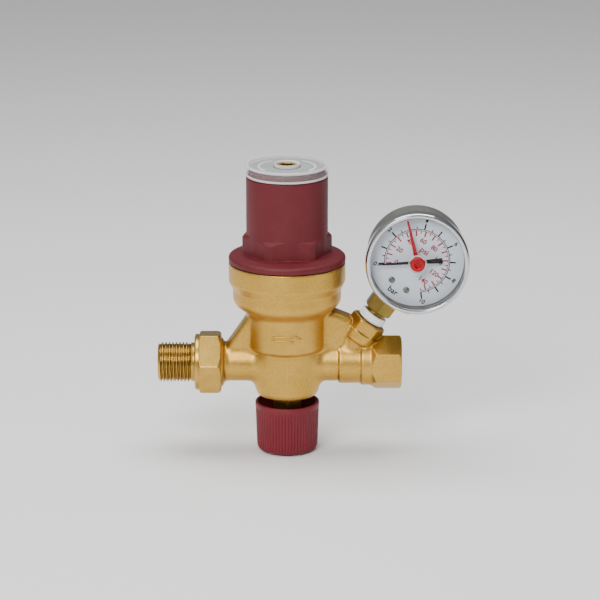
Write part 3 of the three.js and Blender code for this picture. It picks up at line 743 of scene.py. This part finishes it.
def gauge_boss():
    """A round boss whose foot stands proud of the web, with spanner flats cut above it."""
    foot = turned([(0, 0), (7.5, 0), (7.5, 17), (0, 17)], 0.4, on_branch)
    barrel = turned([
        (0, 15.3), (8.2, 15.3), (9.4, 16.1), (9.9, 17.6), (9.9, 26.9), (9.2, BOSS_TOP),
        (0, BOSS_TOP)], 0.25, on_branch)
    flats = join(
        hexagon(17.6, 21.0, 30, 0, 0.2, on_branch),
        (rod(12, 0, 21.3, 0.2, on_branch), 0.5))
    return join(foot, (both(barrel, flats, 0.3), 0.8))


def left_web():
    return web([(-32.3, 0), (-8, 0), (-8, 30), (-18.6, 29.4), (-32.3, 9.2)], 14, 3.6)


def right_web():
    return web([(8, 0), (27, 0), (34, 24.6), (33.2, 25.2), (24, 28.9), (8, 29)], 13.4, 3.2)


def outlet_passage(p):
    start, end, radius = np.array([8.0, 0, 20]), np.array([29.5, 0, 1]), 3.6
    length = np.linalg.norm(end - start)
    along = (end - start) / length
    rel = p - start
    t = np.clip(rel @ along, 0, length)
    return np.linalg.norm(rel - t[..., None] * along, axis=-1) - radius


def valve_body():
    outside = join(
        body_barrel(),
        (inlet_pipe(), 4.4),
        (outlet_pipe(), 4.4),
        (left_web(), 2.0),
        (right_web(), 2.0),
        (gauge_boss(), 1.3),
        (outlet_hexagon(), 0.9))
    field = cut(
        outside,
        rod(27.3, 44, 60),
        rod(24.5, 36.5, 45),
        rod(13, -12.5, 40),
        rod(6.6, -20, -10),
        rod(6, -44, -8, 0.2, along_x),
        rod(8, 27, 47, 0.2, along_x),
        rod(SOCKET_R + 1.3, SOCKET_START, 62, 0.2, along_x),
        outlet_passage,
        rod(2.2, 3, 20, 0.2, on_branch),
        rod(6.1, 18, 30, 0.2, on_branch))
    shape = skin(field, (-44, -32.5, -19), (62, 32.5, 57), 0.5)
    piece("body_forging", shape, "brass_cast", replaces="valve_body")


def flow_arrow():
    """The raised outline of an arrow on the front of the neck, pointing downstream."""
    outline = [(-7.4, -1.1), (3.2, -1.1), (3.2, -2.2), (7.4, 0), (3.2, 2.2), (3.2, 1.1),
               (-7.4, 1.1)]
    line = []
    for (ax, az), (bx, bz) in edges_of(outline):
        count = max(3, int(math.hypot(bx - ax, bz - az) / 0.5))
        line += [(ax + (bx - ax) * k / count, az + (bz - az) * k / count) for k in range(count)]
    centres = [(x, -math.sqrt(NECK_R**2 - x * x) + 0.12, 18 + z) for x, z in line]
    piece("flow_arrow", swept(centres, 0.5, 12, closed=True), "brass_cast", sharp=80)


# ---- Threads ----


def thread_surface(crest, depth, low, high, inside=False):
    """Rows of a helical thread about Z: rounded crests, and run-outs at both ends."""
    rows = int((high - low) / PITCH * 14)
    z = np.linspace(low, high, rows + 1)[:, None]
    turn = turns_of(THREAD_SIDES)[None, :]
    phase = (z / PITCH - turn / (2 * math.pi)) % 1.0
    wave = np.clip(np.abs(phase * 2 - 1) * 1.25 - 0.12, 0, 1)
    wave = wave * wave * (3 - 2 * wave)
    fade = np.clip(np.minimum(z - low, high - z) / (0.6 * PITCH), 0, 1)
    if inside:
        r = crest + depth * (1 - wave) * fade
    else:
        r = crest - depth * np.maximum(wave, 1 - fade)
    zz = np.broadcast_to(z, r.shape)
    return np.stack([r * np.cos(turn), r * np.sin(turn), zz], -1).reshape(-1, 3)


def threaded(before, surface, after):
    """A closed shape of a thread's rows between rings of (radius, height)."""
    rings = [[ring(r, z, THREAD_SIDES) for r, z in side] for side in (before, after)]
    vertices = np.concatenate([*rings[0], surface, *rings[1]])
    return vertices, sheet_of(len(vertices) // THREAD_SIDES, THREAD_SIDES, wrap_rows=True)


def tail():
    """The union's tail: a flange, a plain neck and a G1/2 male thread, bored through."""
    surface = thread_surface(10.48, 1.16, -67.3, -50.7)
    bore = 7.5
    lead_in = [(bore + 0.5, -67.6), (9.1, -67.6)]
    neck = [(9.9, -50.4), (10.2, -50.0), (10.2, -46.3), (10.4, -46.1), (12.6, -46.1),
            (12.8, -45.9), (12.8, -44.3), (12.6, -44.1), (bore + 0.5, -44.1), (bore, -44.6),
            (bore, -67.1)]
    shape = threaded(lead_in, surface, neck)
    piece("union_tail", shape, "brass_turned", "tailpiece", "tailpiece", from_x, 40)


def outlet_thread():
    """The female thread that lines the outlet socket."""
    surface = thread_surface(SOCKET_R, 1.0, 47, 59.2, inside=True)
    outside = [(10.2, 59.6), (10.55, 59.6), (10.55, 46.2), (SOCKET_R + 0.3, 46.2)]
    vertices, faces = threaded([], surface, outside)
    faces = [face[::-1] for face in faces]
    piece("outlet_thread", (vertices, faces), "brass_turned", place=from_x, sharp=40)


# ---- Union nut ----


def union_nut():
    corner = NUT_AF / math.sqrt(3)
    chamfers = turned([
        (0, -48.4), (14.0, -48.4), (14.8, -47.7), (14.8, -46), (16.2, -46), (corner + 0.2, -45.2),
        (corner + 0.2, -36.2), (15.4, -34.5), (0, -34.5)], 0.15, along_x)
    hexagonal = hexagon(NUT_AF, -46, -32, -90 - 7.3, 0.18, along_x)
    blank = both(join(hexagonal, (rod(14.8, -49, -45, 0.15, along_x), 0.3)), chamfers, 0.3)
    field = cut(blank, rod(13.4, -46.4, -32, 0.15, along_x), rod(10.9, -51, -45, 0.15, along_x))
    shape = skin(field, (-50, -19, -19), (-33, 19, 19), 0.4)
    piece("union_nut_hexagon", shape, "brass_turned", "union_nut", "union_nut")
    gasket = flat_ring(8, 12.4, -43.8, -41.8, 96, 0.3)
    piece("fibre_washer", gasket, "fibre", "tailpiece", "union_gasket", from_x)


# ---- Bonnet ----


def bonnet():
    outside = turned([
        (0, 48), (26.9, 48), (26.9, 55.1), (COLLAR_R, 55.1), (COLLAR_R, 57.6), (29.6, 58.4),
        (24.6, 59.9), (TOWER_R, 60.1), (TOWER_R, 100.1), (20.8, 100.5), (19.8, 100.5),
        (19.8, COVER_TOP), (0, COVER_TOP)], 0.2)
    base = both(
        hexagon(42, 58.6, 72, -115, 0.15),
        turned([(0, 58), (23.3, 58), (23.3, 68.2), (21.3, 69.9), (0, 69.9)], 0.15),
        0.25)
    field = cut(
        join(outside, (base, 0.2)),
        rod(23, 46, 53),
        turned([(0, 52.9), (23, 52.9), (18, 58), (18, 92.5), (0, 92.5)]),
        rod(8.3, 91, 101.8),
        rod(6.6, 101, 106))
    shape = skin(field, (-32.5, -32.5, 46.5), (32.5, 32.5, 106), 0.5)
    piece("spring_cover", shape, "red", replaces="bonnet")


def cap():
    """The clear snap cap: a drum with a turned-down rim and a thick, rounded shoulder."""
    shell = lathe([
        (6.7, 106.1), (20.25, 105.6), (20.25, CAP_RIM), (21.45, CAP_RIM), (21.45, 105.9),
        (20.65, CAP_TOP), (7.6, 107.2), (6.7, 106.9)], 160, 0.3)
    piece("clear_cap", shell, "clear", replaces="bonnet_cap")
    # Painted highlights: two pale, half-clear rings stand for the light that the clear plastic
    # catches along its edges.
    edges = merged(*[
        flat_ring(r - w, r + w, z - h, z + h, 160, 0.12)
        for r, z, w, h in ((20.65, 106.05, 0.65, 0.5), (20.9, 101.4, 0.4, 0.5))])
    piece("clear_cap_edge_highlights", edges, "clear_edge_highlight")
    disc = flat_ring(7.2, 19.6, SCALE_LOW, SCALE_TOP, 128, 0.1)
    piece("scale_plate", disc, "label", replaces="scale_disc")
    eyelet = lathe([(5.8, 105.4), (6.6, 105.4), (6.6, 107.1), (5.9, 107.0)], 96, 0.15)
    piece("scale_eyelet", eyelet, "nylon")
    marks = [curved_arrow(-1), curved_arrow(1), sign(-12.2, False), sign(12.2, True)]
    piece("scale_marks", merged(*marks), "label_print")


def polar(r, angle):
    """A point at a radius, from an angle that is counted clockwise from Y."""
    return r * math.sin(angle), r * math.cos(angle)


def curved_arrow(side):
    """A flat arc with a head, one for each way that the adjusting screw turns."""
    start, end = 32 * DEG, 118 * DEG
    middle, half = 14.6, 0.45
    arc = [start + (end - start) * k / 24 for k in range(25)]
    inner = [polar(middle - half, a) for a in arc]
    outer = [polar(middle + half, a) for a in arc]
    head = [polar(middle - 1.5, end), polar(middle, end + 11 * DEG), polar(middle + 1.5, end)]
    outline = [(side * x, y) for x, y in inner + head + outer[::-1]]
    return slab(outline, SCALE_PRINT_LOW, SCALE_PRINT_TOP)


def sign(x, plus):
    """A minus or a plus, between the ends of the arrows. The plus's post lies over its bar."""
    bar = slab([(x - 1.3, -11.2), (x + 1.3, -11.2), (x + 1.3, -10.7), (x - 1.3, -10.7)],
               SCALE_PRINT_LOW, SCALE_PRINT_TOP)
    if not plus:
        return bar
    post = slab([(x - 0.25, -12.2), (x + 0.25, -12.2), (x + 0.25, -9.7), (x - 0.25, -9.7)],
                SCALE_PRINT_LOW + 0.01, SCALE_PRINT_TOP + 0.01)
    return merged(bar, post)


def adjuster():
    """The adjusting screw, with its hexagon socket, and the bush it turns in."""
    outside = turned([
        (0, 87.6), (2.6, 88.3), (4.2, 89), (5, 90), (5, 106.0), (4.5, 106.5), (0, 106.5)], 0.1)
    field = cut(outside, hexagon(6, 96, 108, 0, 0.1), edge=0.25)
    shape = skin(field, (-6.5, -6.5, 86), (6.5, 6.5, 108), 0.22)
    piece("adjuster_screw", shape, "brass_turned", "adjusting_screw", "adjusting_screw")
    bush = cut(
        join(hexagon(20, 90, 92.2, 0, 0.2), (rod(7.9, 91, 101.5, 0.15), 0.4)),
        rod(5.4, 88, 104, 0.1))
    shape = skin(bush, (-13, -13, 88.5), (13, 13, 103), 0.45)
    piece("bonnet_bush", shape, "brass_turned", replaces="screw_bush")


# ---- Shut-off knob ----


def knob():
    """A ribbed cup: the skirt's outside carries the ribs, and its inside is plain."""
    around = KNOB_RIBS * 8
    rib = np.sqrt(0.5 + 0.5 * np.cos(KNOB_RIBS * turns_of(around)))
    groove, mouth, taper, bend = 0.42, 16.8, 0.9, 2.6

    def radius_at(z):
        t = (KNOB_TOP - z) / (KNOB_TOP - KNOB_LOW)
        return mouth - taper * t

    rows = [(1.9, -43.4, 0), (5.7, -43.4, 0), (5.8, -43.6, 0), (5.8, KNOB_LOW + 0.3, 0),
            (6.1, KNOB_LOW, 0), (12.2, KNOB_LOW, 0)]
    for k in range(9):
        a = k / 8 * math.pi / 2
        r = radius_at(KNOB_LOW) - bend + bend * math.sin(a)
        rows.append((r, KNOB_LOW + bend - bend * math.cos(a), k / 8))
    for k in range(1, 22):
        z = KNOB_LOW + bend + (KNOB_TOP - bend - KNOB_LOW - bend) * k / 21
        rows.append((radius_at(z), z, 1 if k < 21 else 0))
    rows += [(mouth, KNOB_TOP - 2.3, 0), (mouth, KNOB_TOP - 0.5, 0), (16.65, KNOB_TOP - 0.12, 0),
             (16.3, KNOB_TOP, 0), (15.7, KNOB_TOP, 0), (15.4, KNOB_TOP - 0.12, 0),
             (15.3, KNOB_TOP - 0.5, 0), (15.3, KNOB_TOP - 2.5, 0), (14.2, KNOB_TOP - 4, 0),
             (14.2, -40, 0), (13.6, -41.8, 0), (12.6, -43, 0),
             (6.4, -44.4, 0), (6, -44, 0), (6, -30.4, 0), (5.6, -30, 0), (3.3, -30, 0),
             (3.1, -30.3, 0), (3.1, -42, 0), (1.9, -42, 0)]
    vertices = np.concatenate(
        [ring(r - groove * ribbed * (1 - rib), z, around) for r, z, ribbed in rows])
    faces = sheet_of(len(rows), around, wrap_rows=True)
    piece("ribbed_knob", (vertices, faces), "red_knob", "shutoff_knob", "shutoff_knob", sharp=50)


def gland():
    field = cut(
        join(hexagon(14.5, -25.4, -17.4, -90, 0.2), (rod(6.2, -18, -12.7, 0.15), 0.3)),
        rod(3.2, -27, -11, 0.1),
        rod(4.9, -19.5, -17.4, 0.1),
        edge=0.3)
    shape = skin(field, (-10, -10, -26.6), (10, 10, -11.5), 0.35)
    piece("gland_nut", shape, "brass_turned", replaces="gland")


# ---- Gauge ----


def gauge_socket():
    """The gauge's connection: stem, spanner hexagon, neck, and the block inside the case."""
    stem = turned([
        (0, 19.6), (5.6, 19.6), (5.6, 32.6), (5.0, 33.1), (5.0, 33.9), (5.5, 34.4), (6.4, 34.8),
        (0, 35)], 0.15, on_branch)
    corner = 14 / math.sqrt(3)
    chamfers = turned([
        (0, 34.4), (6.9, 34.4), (corner + 0.1, 35.3), (corner + 0.1, 43.1), (7.2, 43.9),
        (0, 43.9)], 0.15, on_branch)
    spanner = both(hexagon(14, 33, 45, 90, 0.15, on_branch), chamfers, 0.3)
    neck = rod(5.6, 43, 48.1, 0.2, on_branch)
    block = prism([(-5.9, -4), (5.9, -4), (5.9, 5), (-5.9, 5)], GAUGE_AT - 23.5, GAUGE_AT - 12,
                  0.25, on_branch)
    lugs = [(lug(x, 2.1, -7.3, -3), 0.3) for x in (-4.66, 4.66)]
    field = cut(
        join(stem, (spanner, 0.4), (neck, 0.6), (block, 0.4), *lugs),
        rod(1.6, 18.6, GAUGE_AT - 18, 0.1, on_branch))
    shape = skin(field, (32, -10, 9), (70, 10, 55), 0.4)
    piece("gauge_stem", shape, "brass_dark", replaces="gauge_socket")


def lug(x, r, near, far):
    """A round lug along Y in the gauge's block, x to the side of the branch."""

    def field(p):
        q = on_branch(p)
        side = np.hypot(q[..., 0] - x, q[..., 2] - (GAUGE_AT - 15.8)) - r
        return soft_max(side, np.abs(q[..., 1] - (near + far) / 2) - (far - near) / 2, 0.3)

    return field


def tape():
    """Several turns of sealing tape, with uneven edges."""
    sides, rows = 160, 26
    rng = np.random.default_rng(7)
    turns = turns_of(sides)
    wobble = sum(
        rng.uniform(0.03, 0.10) * np.cos(k * turns + rng.uniform(0, 6.28))
        for k in (2, 3, 5, 9, 14))
    vertices = []
    for i in range(rows):
        t = i / (rows - 1)
        layer = 0.14 * np.cos(2 * math.pi * (3.2 * t - turns / (2 * math.pi)))
        ends = math.sqrt(max(0.0, 1 - (2 * t - 1) ** 6))
        r = 6.2 + (0.85 + 0.25 * t + layer + 0.4 * wobble * (t - 0.3)) * ends
        z = BOSS_TOP + 0.35 + 4.5 * t + 0.25 * wobble * (t - 0.5)
        vertices.append(ring(r, z, sides))
    vertices += [ring(5.9, z, sides) for z in (BOSS_TOP + 4.6, BOSS_TOP + 0.4)]
    faces = sheet_of(rows + 2, sides, wrap_rows=True)
    piece("tape_wrap", (np.concatenate(vertices), faces), "tape", replaces="ptfe_tape",
          place=from_branch, sharp=60)


def gauge_shell():
    """Case, bezel and lens. Heights count forwards from the gauge's middle plane."""
    case = lathe([
        (0, -10), (24.0, -10), (25.6, -8.4), (25.6, 11.6), (24.4, 11.6), (24.4, -8), (23.6, -8.8),
        (0, -8.8)], 160, 0.5)
    piece("gauge_drum", case, "case", replaces="gauge_case", place=from_dial)
    bezel = lathe([
        (24.3, 15.2), (24.3, 16.0), (24.9, 16.5), (26.0, 16.5), (26.8, 15.7), (27.0, 14.8),
        (27.0, 9.9), (26.7, 9.6), (26.0, 9.6), (26.0, 12.6), (24.9, 12.9), (24.9, 15.0)], 192, 0.2)
    piece("bezel", bezel, "chrome", replaces="gauge_ring", place=from_dial)
    lens = flat_ring(1.7, 24.5, LENS_BACK, LENS_FRONT, 160, 0.15)
    piece("lens", lens, "lens", replaces="gauge_lens", place=from_dial)


def at(compass, r):
    """A point on the dial, from a compass bearing and a radius."""
    return polar(r, compass * DEG)


def stroke(compass, inner, outer, width):
    """A tick along a radius of the dial."""
    (ax, ay), (bx, by) = at(compass, inner), at(compass, outer)
    nx, ny = at(compass + 90, width / 2)
    return slab([(ax - nx, ay - ny), (bx - nx, by - ny), (bx + nx, by + ny), (ax + nx, ay + ny)],
                PRINT_LOW, PRINT_TOP)


def arc_band(start, end, inner, outer, steps=120):
    """A flat band along part of a circle on the dial."""
    rows = []
    for k in range(steps + 1):
        bearing = start + (end - start) * k / steps
        near, far = at(bearing, inner), at(bearing, outer)
        rows += [(*near, PRINT_LOW), (*far, PRINT_LOW), (*far, PRINT_TOP), (*near, PRINT_TOP)]
    faces = [face[::-1] for face in sheet_of(steps + 1, 4)]
    faces.append((0, 1, 2, 3))
    faces.append(tuple(4 * steps + i for i in (3, 2, 1, 0)))
    return np.array(rows, float), faces


def lettering(text, compass, r, size):
    """Generic figures on the dial, upright when the gauge stands square on its stem."""
    curve = bpy.data.curves.new("figures", "FONT")
    curve.body = text
    curve.size = size
    curve.align_x = "CENTER"
    curve.align_y = "CENTER"
    curve.extrude = 0.02
    curve.offset = 0.1
    curve.resolution_u = 3
    holder = add("figures", curve)
    bpy.context.view_layer.update()
    drawn = holder.evaluated_get(bpy.context.evaluated_depsgraph_get())
    mesh = bpy.data.meshes.new_from_object(drawn)
    vertices = np.array([v.co for v in mesh.vertices], float).reshape(-1, 3)
    faces = [tuple(p.vertices) for p in mesh.polygons]
    bpy.data.objects.remove(holder)
    bpy.data.curves.remove(curve)
    bpy.data.meshes.remove(mesh)
    s, c = math.sin(-DIAL_TURN * DEG), math.cos(-DIAL_TURN * DEG)
    x0, y0 = at(compass, r)
    x = vertices[:, 0] * c - vertices[:, 1] * s + x0
    y = vertices[:, 0] * s + vertices[:, 1] * c + y0
    return np.stack([x, y, vertices[:, 2] - DIAL_Y + 0.02], -1), faces


def bar_bearing(value):
    return BAR_ZERO + DEG_PER_BAR * value


def psi_bearing(value):
    return bar_bearing(value / PSI_PER_BAR)


def dial():
    """The dial plate and its print: bar in black outside, psi in red inside."""
    plate = flat_ring(1.4, 24.3, -DIAL_Y - 0.6, -DIAL_Y, 160, 0.08)
    piece("dial_plate", plate, "dial", replaces="gauge_dial", place=from_dial)
    black = [arc_band(bar_bearing(0), bar_bearing(10), 16.7, 17.1)]
    for half_bar in range(21):
        tip, width = (18.3, 0.5) if half_bar % 2 else (20.1, 0.8)
        black.append(stroke(bar_bearing(half_bar / 2), 16.7, tip, width))
    for value in range(0, 11, 2):
        black.append(lettering(str(value), bar_bearing(value), 21.8, 3.3))
    black.append(lettering("bar", 217.8, 20.3, 4.3))
    piece("dial_print_bar", merged(*black), "print_black", place=from_dial)
    red = [arc_band(psi_bearing(0), psi_bearing(145), 15.95, 16.3)]
    for value in range(0, 146, 5):
        foot, width = (14.6, 0.45) if value % 10 else (13.2, 0.72)
        red.append(stroke(psi_bearing(value), foot, 16.3, width))
    for value in range(0, 141, 20):
        red.append(lettering(str(value), psi_bearing(value), 10.9, 3.5))
    red.append(lettering("psi", 36.5, 6.3, 4.3))
    piece("dial_print_psi", merged(*red), "print_red", place=from_dial)


def dial_screws():
    screw = [(0, 7.6), (0.8, 7.6), (0.8, 8.8), (1.6, 8.8), (1.6, 9.1), (1.35, 9.5), (0.8, 9.7),
             (0, 9.75)]
    vertices, faces = lathe(screw, 32, 0.1)
    for number, side, node in ((1, -16.4, "dial_screw_2"), (2, 16.4, "dial_screw_1")):
        shape = (vertices + [*at(216 + side, 16.45), 0], faces)
        piece(f"dial_rivet_{number}", shape, "screw", replaces=node, place=from_dial)


def pointers():
    """The black pointer on its arbor, and the red marker with the knob that sets it."""
    blade = [(-1.4, -13), (1.4, -13), (1.1, -6), (0.75, -2), (0.85, 0), (0.6, 14), (0.15, 20.9),
             (-0.15, 20.9), (-0.6, 14), (-0.85, 0), (-0.75, -2), (-1.1, -6)]
    black = merged(
        slab(turned_outline(blade, -BAR_ZERO * DEG), POINTER_LOW, POINTER_TOP),
        lathe([(0, 10.7), (2.1, 10.7), (2.1, 11.7), (1.2, 12.1), (0, 12.1)], 48, 0.2))
    piece("pressure_pointer", black, "black", "pointer", "pointer", from_dial)
    marker = [(-1.25, 0), (-0.5, 22.4), (-0.1, 23.2), (0.1, 23.2), (0.5, 22.4), (1.25, 0)]
    red = merged(
        slab(turned_outline(marker, -347 * DEG), MARKER_LOW, MARKER_TOP),
        lathe([(0, 12.5), (2.5, 12.5), (2.5, 12.9), (1.2, 12.95), (1.2, 15), (0, 15)], 48, 0.1))
    piece("marker_pointer", red, "marker", "set_pointer", "set_pointer", from_dial)
    collar = lathe([(3.9, 15.1), (4.75, 15.1), (4.65, 16.2), (4.2, 16.5), (3.9, 16.4)], 64, 0.15)
    piece("marker_collar", collar, "clear", "set_pointer", place=from_dial)
    # Painted highlight: a thin pale ring on the collar's edge, where the clear plastic catches
    # light.
    rim = lathe([(4.45, 15.0), (4.8, 15.0), (4.75, 16.3), (4.45, 16.3)], 64, 0.1)
    piece("marker_collar_rim_highlight", rim, "clear_edge_highlight", "set_pointer", place=from_dial)
    grip = lathe([(0, 15.1), (3.85, 15.1), (3.85, 16.3), (3.3, 16.95), (1.95, 17.1), (1.7, 16.9),
                  (1.7, 15.7), (0, 15.6)], 64, 0.15)
    piece("marker_grip", grip, "marker", "set_pointer", "set_pointer_knob", from_dial)


def turned_outline(outline, turn):
    s, c = math.sin(turn), math.cos(turn)
    return [(x * c - y * s, x * s + y * c) for x, y in outline]


# ---- Springs ----


def coil(r, wire, low, high, turns):
    """A coil with closed ends, as a line of points about Z."""
    count = int(turns * 28)
    t = np.linspace(0, 1, count + 1)
    rise = np.clip((t - 0.06) / 0.88, 0, 1)
    angle = t * turns * 2 * math.pi
    z = low + (high - low) * rise
    return swept(np.stack([r * np.cos(angle), r * np.sin(angle), z], -1), wire / 2, 12)


def springs():
    main = piece("main_coil", coil(13.9, 3.2, 52.3, 82.3, 6.4), "wire", replaces="main_spring")
    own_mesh(main)
    piece("return_coil", coil(5, 1, -11.7, -4, 4.4), "wire", replaces="return_spring")
    check = piece("check_coil", coil(3.1, 0.8, 34.3, 42.8, 4.6), "wire", replaces="check_spring",
                  place=from_x)
    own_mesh(check)


# ---- CAD nodes that keep their shape ----

KEPT = {
    "brass_turned": ["shutoff_spindle", "valve_stem", "obturator", "guide_bush",
                     "diaphragm_washer"],
    "brass_bright": ["movement_frame", "bourdon_tube", "sector_gear", "link"],
    "nylon": ["slip_ring", "check_cage", "check_retainer", "check_poppet"],
    "rubber": ["diaphragm", "obturator_seal", "seat_oring", "gland_oring", "spindle_oring",
               "poppet_seal"],
    "steel": ["spring_plate", "diaphragm_plate", "stem_nut", "seat_insert", "strainer",
              "thrust_pin", "knob_washer", "knob_screw", "pointer_arbor"],
}


def dress_kept_nodes():
    for look, names in KEPT.items():
        for name in names:
            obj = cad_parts[name]
            obj.data.materials.clear()
            obj.data.materials.append(LOOKS[look])


# ---- Studio: places and sizes in metres, powers in watts ----

LIGHTS = {
    "key": ((-0.32, -0.9, 0.72), (0.5, 0.5), 10.3),
    "fill": ((0.9, -0.5, 0.35), (0.3, 0.7), 1.2),
    "top": ((0.0, 0.1, 1.0), (1.0, 0.7), 11),
}
SKY_LEVEL = 0.22
SKY_SLOPE = (-0.18, -0.02, 0.18)


def camera():
    """A long lens, level with the valve's middle and 16 degrees above it."""
    target, distance, rise = np.array([6.7, 0, 33.7]) * MM, 1.565, 16 * DEG
    data = bpy.data.cameras.new("camera")
    data.lens = 180
    data.sensor_width = 36
    data.clip_end = 20
    obj = add("camera", data)
    obj.location = target + distance * np.array([0, -math.cos(rise), math.sin(rise)])
    obj.rotation_euler = (math.pi / 2 - rise, 0, 0)
    bpy.context.scene.camera = obj


def area_light(name, location, size, energy):
    """A rectangle of light that faces the valve's middle, 30 mm above the pipe axis."""
    data = bpy.data.lights.new(name, "AREA")
    data.shape = "RECTANGLE"
    data.size, data.size_y = size
    data.energy = energy
    obj = add(name, data)
    obj.location = location
    direction = -obj.location.copy()
    direction.z += 30 * MM
    obj.rotation_euler = direction.to_track_quat("-Z", "Y").to_euler()


def studio():
    floor = bpy.data.meshes.new("floor")
    gap, reach = 0.0005, 8.0
    low = CAD_BOUNDS[0][2] - gap
    floor.from_pydata(
        [(-reach, -reach, low), (reach, -reach, low), (reach, reach, low), (-reach, reach, low)],
        [], [(0, 1, 2, 3)])
    obj = add("floor", floor)
    pale = {"Base Color": (0.93, 0.93, 0.93, 1), "Roughness": 0.9}
    floor.materials.append(Look("pale floor").finished(pale))
    for name, (location, size, energy) in LIGHTS.items():
        area_light(name, location, size, energy)
    sky()


def sky():
    """A dim studio room around the object, brighter overhead and to the left."""
    world = bpy.data.worlds.new("studio")
    bpy.context.scene.world = world
    world.use_nodes = True
    nodes, links = world.node_tree.nodes, world.node_tree.links
    direction = nodes.new("ShaderNodeTexCoord").outputs["Generated"]
    slope = nodes.new("ShaderNodeVectorMath")
    slope.operation = "DOT_PRODUCT"
    slope.inputs[1].default_value = SKY_SLOPE
    links.new(direction, slope.inputs[0])
    level = nodes.new("ShaderNodeMath")
    level.operation = "ADD"
    level.inputs[1].default_value = SKY_LEVEL
    links.new(slope.outputs["Value"], level.inputs[0])
    links.new(level.outputs["Value"], nodes["Background"].inputs["Strength"])
    nodes["Background"].inputs["Color"].default_value = (1, 1, 1, 1)


for build in (camera, studio, valve_body, flow_arrow, tail, outlet_thread, union_nut, bonnet, cap,
              adjuster, knob, gland, gauge_socket, tape, gauge_shell, dial, dial_screws, pointers,
              springs, dress_kept_nodes):
    build()
